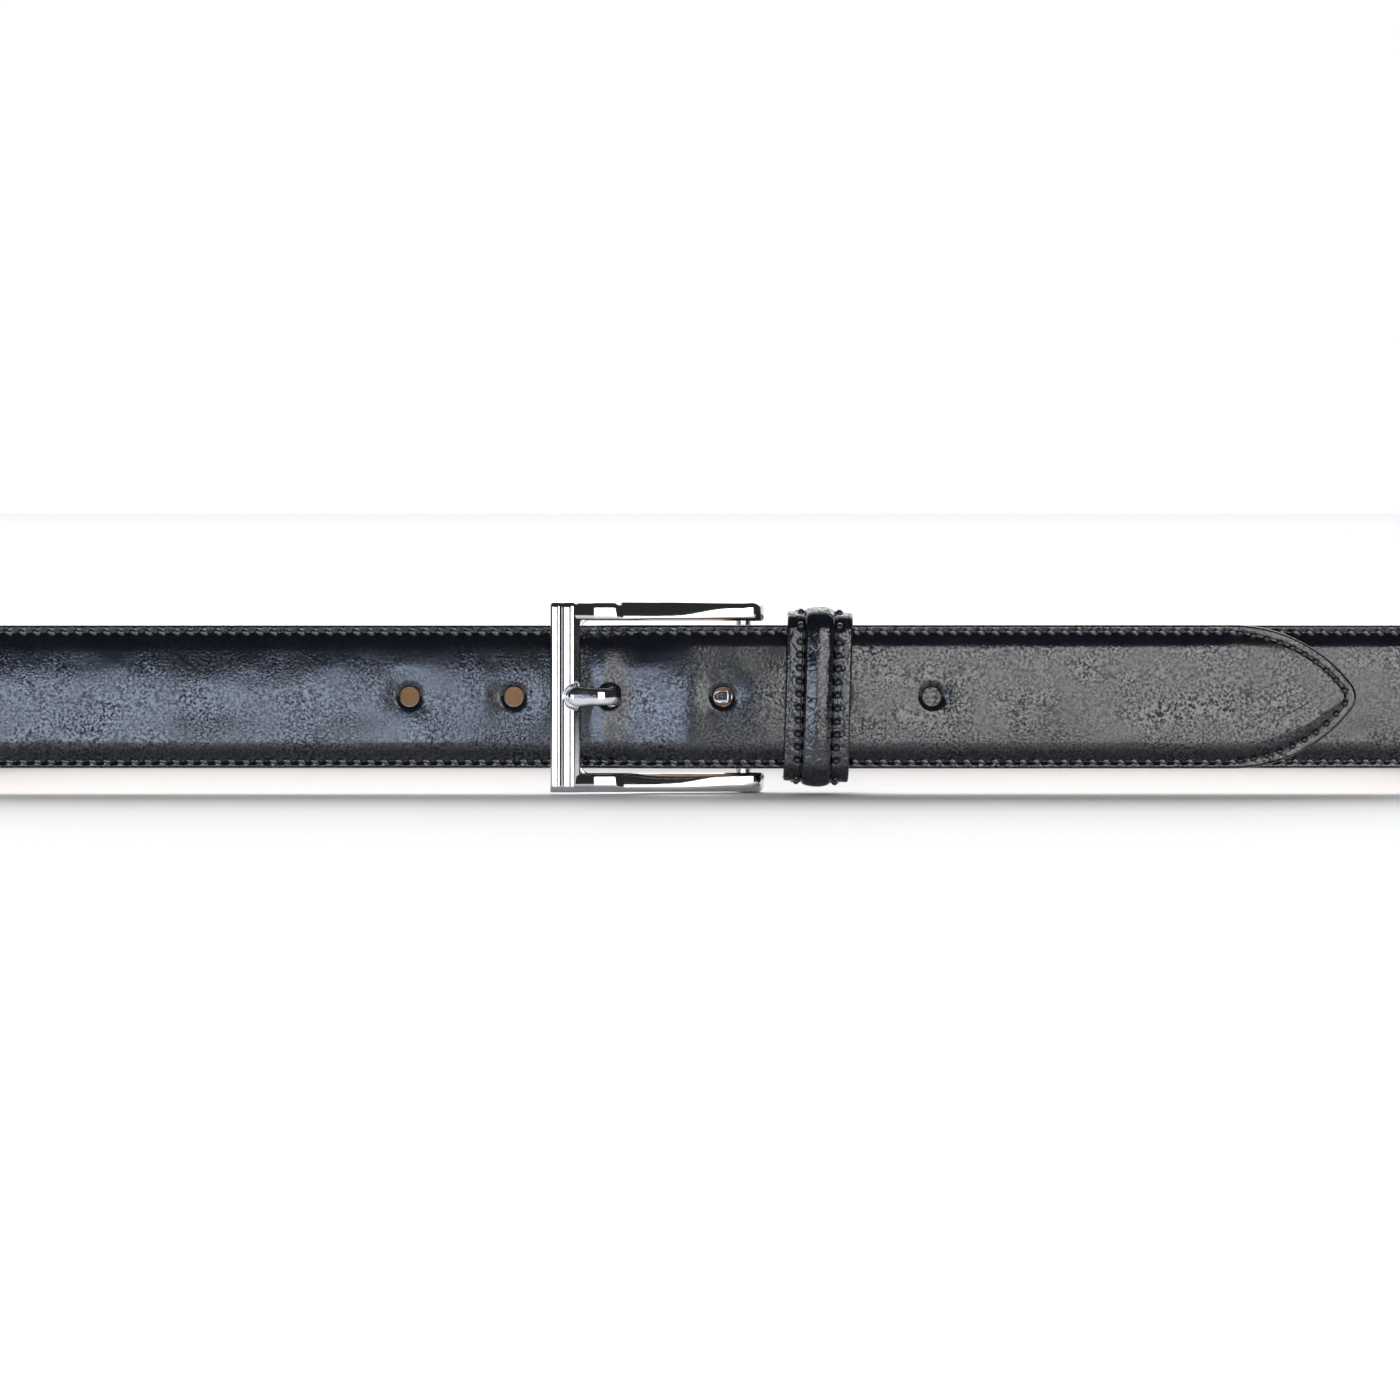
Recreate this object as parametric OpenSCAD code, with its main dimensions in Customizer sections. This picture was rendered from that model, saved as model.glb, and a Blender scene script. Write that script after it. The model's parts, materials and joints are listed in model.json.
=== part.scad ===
// A gentleman's leather dress belt, buckled and standing on its lower edge.
// The strap is one long layered piece: lining, padding and outer leather, with rows of thread.
// It folds round the buckle's hinge bar, runs round the waist, and comes back over itself through the keeper.
// The front run lies along X with its lining on y = 0, and outward is -Y there.
// Sizes are in millimetres. "w" is a distance outward from the lining's inner face.

/* [View] */
// Which piece to draw

/* [Loop] */
// Half length of the straight front run
front_half = 173.6; // [120:1:220]
// Radius of the bends at the sides, at the lining
bend_radius = 50; // [30:1:70]

/* [Strap] */
// Width from edge to edge
strap_width = 35; // [25:0.5:45]
// Thickness of each leather layer
leather = 1.4; // [1:0.1:2]
// Extra height of the padded middle over the stitched margins
dome_rise = 1.4; // [0.5:0.1:2.5]
// Half width of the flat top of the padding
flat_half = 10.5; // [6:0.5:13]
// Half width where the shoulders meet the margins
shoulder_half = 14.5; // [12:0.5:16]
// Small bevel along the outer edges
edge_bevel = 0.3; // [0.1:0.1:0.6]

/* [Tail] */
// Distance of the tip from the middle of the front run
tip_x = 159.8; // [120:1:200]
// Length of the pointed part
tip_length = 30; // [20:1:45]
// Radius of the blunt nose
nose_radius = 5; // [3:0.5:12]
// Where the tail starts to climb over the buckle end
ramp_start = -26; // [-40:1:-15]
// Where the tail lies flat again
ramp_end = 5.5; // [0:0.5:20]
// How far the tail climbs
tail_lift = 4.5; // [4.2:0.1:7]

/* [Holes] */
// Number of holes
hole_count = 6; // [3:1:9]
// Distance between holes
hole_pitch = 25.5; // [20:0.5:30]
// Place of the hole that is farthest from the tip
first_hole_x = -71; // [-90:1:-50]
// Diameter of a punched hole
hole_diameter = 4.7; // [3:0.1:7]
// Diameter of the pressed rim of a hole
rim_diameter = 6.8; // [5:0.1:9]
// Which hole the prong is in, counted from the first
used_hole = 3; // [1:1:9]

/* [Turn-back] */
// Place of the hinge bar's axis
bar_x = 10.7; // [5:0.1:20]
// Radius of the lining's bend round the hinge bar
fold_radius = 2.0; // [1.9:0.05:3]
// Room between the flap and the strap for the keeper's band
flap_gap = 1.6; // [1.2:0.1:3]
// Turn of the flap towards the strap
flap_turn = 36.8699; // [15:1:45]
// Radius of the flap's small counter bend, at the lining
flap_bend = 4; // [3.5:0.5:8]
// End of the flap
flap_end = 40.2; // [30:0.5:60]
// End of the unpadded stretch of the strap behind the tail
flat_end = 41; // [35:0.5:60]
// Places of the two thread rows that hold the flap
turnback_rows = [17.3, 38]; // [15:0.5:45]
// Half width of the slot that lets the prong through the fold
slot_half = 3.1; // [2.5:0.1:5]

/* [Thread] */
// Radius of the strap's thread
thread_radius = 0.4; // [0.2:0.05:0.8]
// Distance of the strap's thread rows from the edges
thread_inset = 2.0; // [1.5:0.1:3.5]
// Radius of the keeper's thread
keeper_thread = 0.35; // [0.2:0.05:0.6]

/* [Buckle] */
// Overall height across both rails
buckle_height = 46.6; // [40:0.2:60]
// Width of the opening between the rails
buckle_opening = 37.3; // [36:0.1:45]
// Left face of the front bar
bar_left = -36.5; // [-50:0.5:-30]
// Width of the front bar
bar_width = 7.5; // [5:0.5:12]
// Top face of the front bar
bar_top = 8.5; // [7:0.1:11]
// Underside of the front bar
bar_under = 4.5; // [4.3:0.1:6]
// Depth of the rest that the prong's tip lies in
rest_depth = 1.2; // [0.5:0.1:2]
// Depth of the rails
rail_depth = 4; // [2.5:0.1:5]
// Radius of the rounded ears that hold the hinge bar
ear_radius = 3.6; // [3:0.1:5]
// Radius of the hinge bar
hinge_radius = 1.8; // [1.2:0.1:2.5]
// Depth of the hinge bar's axis below the lining face
hinge_depth = 2.0; // [1.5:0.1:4]

/* [Prong] */
// Thickness of the prong
prong_thick = 2.2; // [1.5:0.1:3]
// Width of the prong's shank
prong_width = 4.3; // [3:0.1:6]
// Width of the prong's rounded tip
prong_tip_width = 5.1; // [3:0.1:7]
// Outer radius of the prong's eye
eye_radius = 3.3; // [2.8:0.1:5]
// Width of the prong's eye
eye_width = 5.0; // [4:0.1:7]
// Gap between the eye and the hinge bar
eye_gap = 0.07; // [0.01:0.01:0.1]
// Slope of the part that comes up through the strap
prong_slope = 36.8699; // [25:1:60]
// Place of the prong's tip
prong_tip = -32.4; // [-40:0.5:-30]

/* [Keeper] */
// Middle of the keeper
keeper_x = 28.7; // [24:0.1:34]
// Width of the keeper
keeper_width = 15.9; // [10:0.1:25]
// Lean of the keeper out of square
keeper_skew = 1.6; // [0:0.1:3]
// Half height of the keeper's opening
keeper_half = 18.7; // [18:0.1:22]
// Inner face of the keeper's front
keeper_front = 9.0; // [8.9:0.1:12]
// Thickness of the keeper's outer leather
keeper_leather_t = 1.4; // [0.8:0.1:2]
// Thickness of the keeper's inner layer
keeper_lining_t = 1.1; // [0.6:0.1:1.5]
// Width of the padded roll
roll_width = 7.3; // [4:0.1:12]
// Height of the padded roll
roll_rise = 1.3; // [0.5:0.1:2.5]
// Width of the band behind the strap
band_width = 12; // [8:0.5:15]
// Thickness of the band behind the strap
band_thick = 1.1; // [0.8:0.1:1.4]

/* [Hidden] */
$fn = 48;
half = strap_width / 2;
margin_w = 2 * leather;                       // height of the stitched margins
dome_w = margin_w + dome_rise;                // height of the padded middle
loop_depth = 2 * bend_radius;
// The shoulder is an arc that leaves the flat top smoothly and meets the margin.
shoulder_run = shoulder_half - flat_half;
shoulder_radius = (shoulder_run * shoulder_run + dome_rise * dome_rise) / (2 * dome_rise);
shoulder_centre = dome_w - shoulder_radius;
shoulder_turn = asin(shoulder_run / shoulder_radius);
// The climb is two equal arcs, one out and one back.
ramp_run = ramp_end - ramp_start;
ramp_turn = 2 * atan(tail_lift / ramp_run);
ramp_radius = ramp_run / (2 * sin(ramp_turn));
// The tip is two side arcs that run smoothly into the nose.
tip_start = tip_x - tip_length;
nose_x = tip_x - nose_radius;
nose_run = nose_x - tip_start;
side_radius = (nose_run * nose_run + half * half - nose_radius * nose_radius) / (2 * (half - nose_radius));
side_turn = atan2(nose_run, side_radius - half);
nose_angle = 90 - side_turn;
// The flap's path back to the hinge bar.
flap_climb = hinge_depth + fold_radius * cos(flap_turn) - flap_gap - flap_bend * (1 - cos(flap_turn));
flap_slant = flap_climb / sin(flap_turn);
flap_straight = flap_end - bar_x - fold_radius * sin(flap_turn) - flap_slant * cos(flap_turn)
    - flap_bend * sin(flap_turn);
thread_z = half - thread_inset;
// The buckle's own sizes.
opening_half = buckle_opening / 2;
buckle_half = buckle_height / 2;
rail_wide = buckle_half - opening_half;
edge_round = 1.5;
rest_half = prong_tip_width / 2 + 0.25;
bar_right = bar_left + bar_width;
ear_x = 12.2;
ear_w = -hinge_depth - 0.1;
// The prong's path along its flat back.
eye_bore = hinge_radius + eye_gap;
prong_swing = 0.9; // room for the prong's swing in its slot
shank_x = bar_x - 2.4;
shank_back = -hinge_depth - prong_thick * 0.45;
prong_rest = bar_top - rest_depth + 0.05;
prong_bend_in = 6;
prong_bend_out = 4;
prong_flat_x = -26.5;
prong_rise = prong_rest - shank_back - (prong_bend_in + prong_bend_out) * (1 - cos(prong_slope));
prong_slant = prong_rise / sin(prong_slope);
prong_reach = (prong_bend_in + prong_bend_out) * sin(prong_slope) + prong_slant * cos(prong_slope);
shank_length = shank_x - prong_flat_x - prong_reach;
// The keeper's loop.
keeper_corner = 3;
keeper_back = 0.25;
keeper_side = keeper_front + keeper_back - keeper_corner;
keeper_rows = roll_width / 4 + keeper_width / 4 - 1.1; // distance of the thread rows from the keeper's middle
roll_radius = (roll_width * roll_width / 4 + roll_rise * roll_rise) / (2 * roll_rise);
// The belt leans back until the buckle's lower rail and the back's lower edge both touch the ground.
ear_foot = ear_radius - ear_w - 0.8;
padded_from = flat_end + leather; // the outer leather closes the padding's end with a wall this thick
lean = atan((buckle_half - half) / (loop_depth + margin_w - ear_foot));
lift = (loop_depth + margin_w) * sin(lean) + half * cos(lean);
belt_front = keeper_front + keeper_lining_t + keeper_leather_t + roll_rise;
front_reach = belt_front * cos(lean) + (keeper_half - keeper_corner) * sin(lean);
back_reach = (loop_depth + dome_w) * cos(lean) + flat_half * sin(lean);
shift_y = (front_reach - back_reach) / 2;

// Legs of a route: [length] is straight, [radius, turn] bends left, and a minus turn bends right.
LOOP = [[front_half - padded_from], [bend_radius, 180], [2 * front_half], [bend_radius, 180],
    [front_half + ramp_start],
    [ramp_radius, -ramp_turn], [ramp_radius, ramp_turn], [tip_start - ramp_end]];
FOLD = [[flap_straight], [flap_bend, -flap_turn], [flap_slant], [fold_radius, 180 + flap_turn],
    [flat_end - bar_x]];
PRONG = [[shank_length], [prong_bend_in, prong_slope], [prong_slant], [prong_bend_out, -prong_slope],
    [prong_flat_x - prong_tip - prong_tip_width / 2]];
KEEPER = [[keeper_side], [keeper_corner, 90], [2 * (keeper_half - keeper_corner)], [keeper_corner, 90],
    [keeper_side]];
// The rail leaves the corner block by a scoop, then slopes down to the ear.
RAIL = [[bar_width + 3], [5, acos(0.6)], [7, -3 * acos(0.96)], [30]];

// ---- helpers ----

// Draws a flat section (x outward, y up) along a route that starts at a point with a heading.
module sweep(route, at = [0, 0], heading = 0, leg = 0) {
    if (leg < len(route)) {
        size = route[leg][0];
        turn = len(route[leg]) > 1 ? route[leg][1] : 0;
        hand = turn < 0 ? -1 : 1;
        centre = at + hand * size * [-sin(heading), cos(heading)];
        end = turn == 0 ? at + size * [cos(heading), sin(heading)]
            : centre + hand * size * [sin(heading + turn), -cos(heading + turn)];
        if (turn == 0)
            translate(end) rotate([90, 0, heading - 90]) linear_extrude(size) children();
        else if (turn > 0)
            translate(centre) rotate([0, 0, heading + turn - 90]) mirror([0, 1, 0]) rotate_extrude(angle = turn)
                translate([size, 0]) children();
        else
            translate(centre) rotate([0, 0, heading + 90]) mirror([0, 1, 0]) rotate_extrude(angle = -turn)
                translate([size, 0]) mirror([1, 0]) children();
        sweep(route, end, heading + turn, leg + 1) children();
    }
}

// Points of an arc in a section, from one angle to another round a centre.
function arc(centre, radius, from, to, steps = 6) =
    [for (i = [0:steps]) centre + radius * [cos(from + (to - from) * i / steps), sin(from + (to - from) * i / steps)]];

// Stands the belt on its lower edge, leaning back, with the middle of its footprint on the origin.
module stood() {
    translate([0, shift_y, lift]) rotate([-lean, 0, 0]) children();
}

// Turns a shape drawn with x along the belt and y up, so that its thickness points outward from w.
module on_front(w = 0) {
    translate([0, -w, 0]) rotate([90, 0, 0]) children();
}

// ---- strap sections ----

module dome_outline(radius, top, foot) {
    run = sqrt(pow(radius, 2) - pow(foot - shoulder_centre, 2));
    turn = asin(run / radius);
    polygon(concat([[foot, -flat_half - run]],
        arc([shoulder_centre, -flat_half], radius, -turn, 0),
        arc([shoulder_centre, flat_half], radius, 0, turn),
        [[foot, flat_half + run]]));
}

// The thread is a flat cord, half sunk in its groove.
module thread_spot(z) {
    translate([margin_w - thread_radius, z - thread_radius]) square([2 * thread_radius, 2 * thread_radius]);
}

module margin_strip(half_width) {
    polygon([[leather, -half_width], [margin_w - edge_bevel, -half_width],
        [margin_w, -half_width + edge_bevel], [margin_w, half_width - edge_bevel],
        [margin_w - edge_bevel, half_width], [leather, half_width]]);
}

module solid_section() {
    margin_strip(half);
    dome_outline(shoulder_radius, dome_w, margin_w - 0.2);
}

module outer_section() {
    difference() {
        solid_section();
        dome_outline(shoulder_radius - leather, dome_w - leather, leather);
        thread_spot(thread_z);
        thread_spot(-thread_z);
    }
}

module filler_section() {
    dome_outline(shoulder_radius - leather, dome_w - leather, leather);
}

module lining_section() {
    translate([0, -half]) square([leather, strap_width]);
}

// ---- strap ----

module loop_sweep() {
    sweep(LOOP, [padded_from, 0]) children();
}

module fold_sweep() {
    sweep(FOLD, [flap_end, flap_gap], 180) children();
}

// Upper half of the pointed tip's outline, from the nose back, at a distance inside the edge.
function half_outline(inset) =
    let (from = inset < nose_radius ? nose_angle : asin((side_radius - half) / (side_radius - inset)))
    concat(inset < nose_radius ? arc([nose_x, 0], nose_radius - inset, 0, nose_angle, 6) : [],
        arc([tip_start, half - side_radius], side_radius - inset, from, 90, 12));

module tip_outline(inset = 0) {
    upper = half_outline(inset);
    lower = [for (i = [len(upper) - 1:-1:0]) [upper[i][0], -upper[i][1]]];
    polygon(concat(upper, lower));
}

// The outer leather of the tip: an even margin with a domed middle.
module tip_dome() {
    on_front(tail_lift) {
        translate([0, 0, leather]) linear_extrude(margin_w - edge_bevel - leather) tip_outline();
        hull() {
            translate([0, 0, leather + 0.5]) linear_extrude(margin_w - edge_bevel - leather - 0.5) tip_outline();
            translate([0, 0, leather + 0.5]) linear_extrude(margin_w - leather - 0.5) tip_outline(edge_bevel);
        }
        hull() {
            translate([0, 0, leather + 0.5]) linear_extrude(0.1) tip_outline(half - shoulder_half);
            for (i = [0:6]) {
                turn = shoulder_turn * (1 - i / 6);
                translate([0, 0, shoulder_centre + shoulder_radius * cos(turn) - 0.05]) linear_extrude(0.05)
                    tip_outline(half - flat_half - shoulder_radius * sin(turn));
            }
        }
    }
}

module tip_thread() {
    on_front(tail_lift) translate([0, 0, margin_w - thread_radius]) linear_extrude(2 * thread_radius)
        difference() {
            tip_outline(thread_inset - thread_radius);
            tip_outline(thread_inset + thread_radius);
        }
}

// Punched holes with a pressed rim. The hole in use is a slot instead.
module holes() {
    for (i = [0:hole_count - 1]) {
        x = first_hole_x + i * hole_pitch;
        if (i != used_hole - 1)
            on_front(x < ramp_start ? 0 : tail_lift) translate([x, 0, -0.5]) {
                cylinder(h = dome_w + 1, d = hole_diameter);
                translate([0, 0, dome_w - 0.1]) cylinder(h = 0.7, d1 = hole_diameter, d2 = rim_diameter);
            }
    }
}

// The hole in use, drawn out to follow the prong and leave room for its swing.
module prong_slot() {
    radius = (prong_thick + prong_swing) / 2 + 0.3;
    spread = prong_width / 2 + 0.55 - radius;
    off = (prong_thick + prong_swing) / 2;
    x = prong_flat_x + prong_bend_out * sin(prong_slope) + prong_slant * cos(prong_slope) + off * sin(prong_slope);
    w = shank_back + prong_bend_in * (1 - cos(prong_slope)) + off * cos(prong_slope);
    translate([x, -w, 0]) rotate([0, 0, 180 + prong_slope]) rotate([0, 90, 0]) linear_extrude(22) {
        square([2 * spread, 2 * radius], center = true);
        for (side = [-1, 1])
            translate([side * spread, 0]) circle(radius);
    }
}

// The opening in the fold that the prong's eye turns in.
module fold_slot() {
    on_front(-8) {
        translate([bar_x - 7, -slot_half, 0]) cube([9, 2 * slot_half, 12]);
        translate([bar_x + 2, 0, 0]) cylinder(h = 12, r = slot_half);
    }
}

// One row of thread through the flap and the strap, as two lines joined by stitches.
module turnback_row(x) {
    reach = thread_z - 2;
    deep = flap_gap + 2 * margin_w;
    for (w = [margin_w, -flap_gap - margin_w])
        translate([x, -w, 0]) cube([2 * thread_radius, 2 * thread_radius, 2 * reach], center = true);
    for (z = [1 - reach, 0, reach - 1])
        translate([x, deep / 2 - margin_w, z]) cube([thread_radius, deep, 1], center = true);
}

module outer_leather() {
    color("#14161b") stood() difference() {
        union() {
            loop_sweep() outer_section();
            sweep([[leather]], [flat_end, 0]) solid_section();
            fold_sweep() margin_strip(half);
            tip_dome();
        }
        holes();
        prong_slot();
        fold_slot();
        tip_thread();
        for (x = turnback_rows)
            turnback_row(x);
    }
}

module strap_filler() {
    color("#8a7a63") stood() difference() {
        loop_sweep() filler_section();
        holes();
        prong_slot();
    }
}

module lining_leather() {
    color("#c39a6b") stood() difference() {
        union() {
            loop_sweep() lining_section();
            sweep([[leather]], [flat_end, 0]) lining_section();
            fold_sweep() lining_section();
            on_front(tail_lift) linear_extrude(leather) tip_outline();
        }
        holes();
        prong_slot();
        fold_slot();
        for (x = turnback_rows)
            turnback_row(x);
    }
}

module stitch_upper() {
    color("#0c0c0e") stood() loop_sweep() thread_spot(thread_z);
}

module stitch_lower() {
    color("#0c0c0e") stood() loop_sweep() thread_spot(-thread_z);
}

module stitch_tip() {
    color("#0c0c0e") stood() tip_thread();
}

module turnback_stitch_inner() {
    color("#0c0c0e") stood() turnback_row(turnback_rows[0]);
}

module turnback_stitch_outer() {
    color("#0c0c0e") stood() turnback_row(turnback_rows[1]);
}

// ---- buckle ----

// Section of a rail, with its outer edge rounded over. Its top face is at x = 0.
module rail_section() {
    polygon(concat([[-rail_depth, opening_half], [-rail_depth, buckle_half - 1], [1 - rail_depth, buckle_half]],
        arc([-edge_round, buckle_half - edge_round], edge_round, 90, 0),
        [[0, opening_half + 0.3], [-0.3, opening_half]]));
}

// Outline of the front bar's ends, to round the bar like the rails.
module bar_ends() {
    deep = bar_top - bar_under;
    polygon(concat([[-deep, 1 - buckle_half], [-deep, buckle_half - 1], [1 - deep, buckle_half]],
        arc([-edge_round, buckle_half - edge_round], edge_round, 90, 0),
        arc([-edge_round, edge_round - buckle_half], edge_round, 0, -90),
        [[1 - deep, -buckle_half]]));
}

// Section of the front bar: a rounded outer band, a fine groove, a flat band and an inner bevel.
module bar_section() {
    top = -bar_top;
    polygon(concat([[0.4, -bar_under], [0, -bar_under - 0.4]],
        arc([2.3, top + 2.3], 2.3, 180, 270),
        [[2.6, top], [2.8, top + 0.35], [3.1, top + 0.35], [3.3, top], [5.9, top], [6.4, top + 0.35],
        [bar_width, top + 1.5], [bar_width, -bar_under - 0.4], [bar_width - 0.4, -bar_under]]));
}

module front_bar() {
    intersection() {
        translate([bar_left, 0, 0]) linear_extrude(buckle_height + 2, center = true) bar_section();
        sweep([[bar_width + 1]], [bar_left - 0.5, -bar_top]) bar_ends();
    }
}

module rail() {
    sweep(RAIL, [bar_left + 0.3, -bar_top]) rail_section();
    // The ear that holds the hinge bar.
    translate([ear_x, -ear_w, opening_half]) {
        cylinder(h = rail_wide - 0.8, r = ear_radius);
        translate([0, 0, rail_wide - 0.8]) cylinder(h = 0.8, r1 = ear_radius, r2 = ear_radius - 0.8);
    }
    // The rounded inside corner next to the front bar.
    on_front(bar_under + 0.2) translate([bar_right - 0.4, opening_half + 0.4, 0]) linear_extrude(2.6)
        difference() {
            translate([0, -2.6]) square(2.6);
            translate([2.6, -2.6]) circle(2.2);
        }
}

module buckle_frame() {
    color("#c9ccd0") stood() difference() {
        union() {
            front_bar();
            rail();
            mirror([0, 0, 1]) rail();
        }
        on_front(bar_top - rest_depth) translate([bar_left - 1, -rest_half, 0])
            cube([bar_width + 2, 2 * rest_half, 4]);
        translate([bar_x, hinge_depth, 0]) cylinder(h = buckle_height, r = hinge_radius, center = true);
    }
}

module hinge_bar() {
    color("#b9bcc0") stood() translate([bar_x, hinge_depth, 0])
        cylinder(h = buckle_height - 2, r = hinge_radius, center = true);
}

module prong_section() {
    end = (prong_width - prong_thick) / 2;
    translate([-prong_thick / 2, 0]) {
        square([prong_thick, 2 * end], center = true);
        for (side = [-1, 1])
            translate([0, side * end]) circle(prong_thick / 2);
    }
}

module prong() {
    color("#cfd2d6") stood() difference() {
        union() {
            sweep(PRONG, [shank_x, -shank_back], 180) prong_section();
            translate([bar_x, hinge_depth, 0]) cylinder(h = eye_width, r = eye_radius, center = true);
            // The rounded tip.
            on_front(prong_rest) translate([prong_tip + prong_tip_width / 2, 0, 0]) rotate_extrude() {
                square([(prong_tip_width - prong_thick) / 2, prong_thick]);
                intersection() {
                    translate([(prong_tip_width - prong_thick) / 2, prong_thick / 2]) circle(prong_thick / 2);
                    square(prong_tip_width);
                }
            }
        }
        translate([bar_x, hinge_depth, 0]) cylinder(h = eye_width + 1, r = eye_bore, center = true);
    }
}

// ---- keeper ----

// Sweeps a section round the front and sides of the keeper: x is outward and y runs along the belt.
module keeper_sweep() {
    translate([keeper_x, 0, 0]) rotate([0, keeper_skew, 0]) rotate([0, 90, 0])
        sweep(KEEPER, [-keeper_half, keeper_back], 270) children();
}

module roll_outline(radius, base) {
    top = base + roll_rise;
    reach = asin(sqrt(pow(radius, 2) - pow(radius - roll_rise, 2)) / radius);
    polygon(arc([top - radius, 0], radius, -reach, reach, 8));
}

module keeper_leather_section() {
    edge = keeper_width / 2;
    top = keeper_lining_t + keeper_leather_t;
    difference() {
        union() {
            polygon([[keeper_lining_t, -edge], [top - 0.3, -edge], [top, -edge + 0.3], [top, edge - 0.3],
                [top - 0.3, edge], [keeper_lining_t, edge]]);
            translate([-0.001, 0]) roll_outline(roll_radius, top);
        }
        roll_outline(roll_radius, keeper_lining_t);
        for (side = [-1, 1])
            translate([top, side * keeper_rows]) square(2 * keeper_thread, center = true);
    }
}

module keeper_leather() {
    color("#14161b") stood() {
        keeper_sweep() keeper_leather_section();
        // The band behind the strap, where the ends of the loop are joined.
        translate([keeper_x, keeper_back + band_thick / 2, 0]) rotate([0, keeper_skew, 0])
            cube([band_width, band_thick, 2 * (keeper_half + keeper_lining_t + keeper_leather_t)], center = true);
    }
}

module keeper_filler() {
    color("#8a7a63") stood() keeper_sweep() roll_outline(roll_radius, keeper_lining_t);
}

module keeper_lining() {
    color("#1a1a1c") stood() keeper_sweep() translate([0, -keeper_width / 2])
        square([keeper_lining_t, keeper_width]);
}

module keeper_stitch(side) {
    color("#0c0c0e") stood() keeper_sweep() translate([keeper_lining_t + keeper_leather_t, side * keeper_rows])
        square(2 * keeper_thread, center = true);
}

module keeper_stitch_left() {
    keeper_stitch(-1);
}

module keeper_stitch_right() {
    keeper_stitch(1);
}

// ---- drawing ----

outer_leather();
strap_filler();
lining_leather();
stitch_upper();
stitch_lower();
stitch_tip();
turnback_stitch_inner();
turnback_stitch_outer();
buckle_frame();
hinge_bar();
prong();
keeper_leather();
keeper_filler();
keeper_lining();
keeper_stitch_left();
keeper_stitch_right();
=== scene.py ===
import json
from math import atan, atan2, ceil, copysign, cos, degrees, hypot, pi, radians, sin, sqrt, tan

import bmesh
import bpy
import numpy as np
from mathutils import Matrix, Vector


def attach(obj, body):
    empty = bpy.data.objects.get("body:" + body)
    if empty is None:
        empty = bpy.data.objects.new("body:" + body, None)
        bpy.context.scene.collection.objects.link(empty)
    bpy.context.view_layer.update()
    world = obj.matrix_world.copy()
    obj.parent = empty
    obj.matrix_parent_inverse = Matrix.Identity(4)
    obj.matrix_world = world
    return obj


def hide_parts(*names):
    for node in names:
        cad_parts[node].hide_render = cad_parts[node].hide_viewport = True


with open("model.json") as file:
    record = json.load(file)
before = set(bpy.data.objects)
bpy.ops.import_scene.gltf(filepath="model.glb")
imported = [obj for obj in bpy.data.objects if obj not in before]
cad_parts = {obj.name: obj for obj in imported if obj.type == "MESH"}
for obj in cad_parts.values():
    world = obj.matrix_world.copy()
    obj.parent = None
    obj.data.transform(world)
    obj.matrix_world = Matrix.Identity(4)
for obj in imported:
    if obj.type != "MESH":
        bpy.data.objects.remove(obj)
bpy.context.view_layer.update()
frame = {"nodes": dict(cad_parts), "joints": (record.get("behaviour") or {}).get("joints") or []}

MM = 0.001

# ---- sizes, in millimetres
HALF = 17.5            # half the strap's width
MARGIN_W = 2.8         # height of the stitched margins over the lining's inner face
DOME_W = 4.2           # height of the padded middle
FLAT_HALF = 10.5       # half width of the padding's flat top
SHOULDER_HALF = 15.1   # half width where the shoulders end
FRONT_HALF = 173.6     # half length of the straight front run
BEND_R = 50.0
TIP_START = 129.8      # where the sides of the tail start to curve
SIDE_R = 36.25         # radius of the tip's sides
NOSE_R = 5.0           # radius of its nose
NOSE_X = 25.0          # distance from the tip's start to the nose's centre
RAMP_START, RAMP_END, TAIL_LIFT = -27.0, -1.0, 4.5
RAMP_TURN = 2 * degrees(atan(TAIL_LIFT / (RAMP_END - RAMP_START)))
RAMP_R = (RAMP_END - RAMP_START) / (2 * sin(radians(RAMP_TURN)))
RAMP_SHARE = 0.23        # share of the ramp that its first, tighter bend takes
BAR_X, BAR_Y = 10.7, 2.0
FOLD_R = 2.0
FLAP_GAP, FLAP_TURN, FLAP_BEND, FLAP_END = 1.6, 36.8699, 4.0, 40.2
FLAP_SLANT = (BAR_Y + FOLD_R * cos(radians(FLAP_TURN)) - FLAP_GAP
              - FLAP_BEND * (1 - cos(radians(FLAP_TURN)))) / sin(radians(FLAP_TURN))
FLAP_STRAIGHT = FLAP_END - BAR_X - FOLD_R * 0.6 - FLAP_SLANT * 0.8 - FLAP_BEND * 0.6
FLAT_END = 41.0
HOLES = [-71.0, -45.5, 5.5, 31.0, 56.5]
HOLE_R = 2.35
STITCH_Z = 15.75       # height of the thread rows
PITCH = 3.4            # distance from stitch to stitch

# ---- the belt's own frame, from the record
pivot = next(j for j in frame["joints"] if j["name"] == "buckle_pivot")
LEAN = atan2(pivot["axis"][1], pivot["axis"][2])
TURN = np.array([[1, 0, 0],
                 [0, cos(LEAN), sin(LEAN)],
                 [0, -sin(LEAN), cos(LEAN)]])
SHIFT = np.array(pivot["pos_m"]) - TURN @ np.array([BAR_X, BAR_Y, 0]) * MM


def to_row(points):
    """Points of the belt's own frame, in millimetres, to the row's frame in metres."""
    return np.asarray(points, float) @ TURN.T * MM + SHIFT


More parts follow.
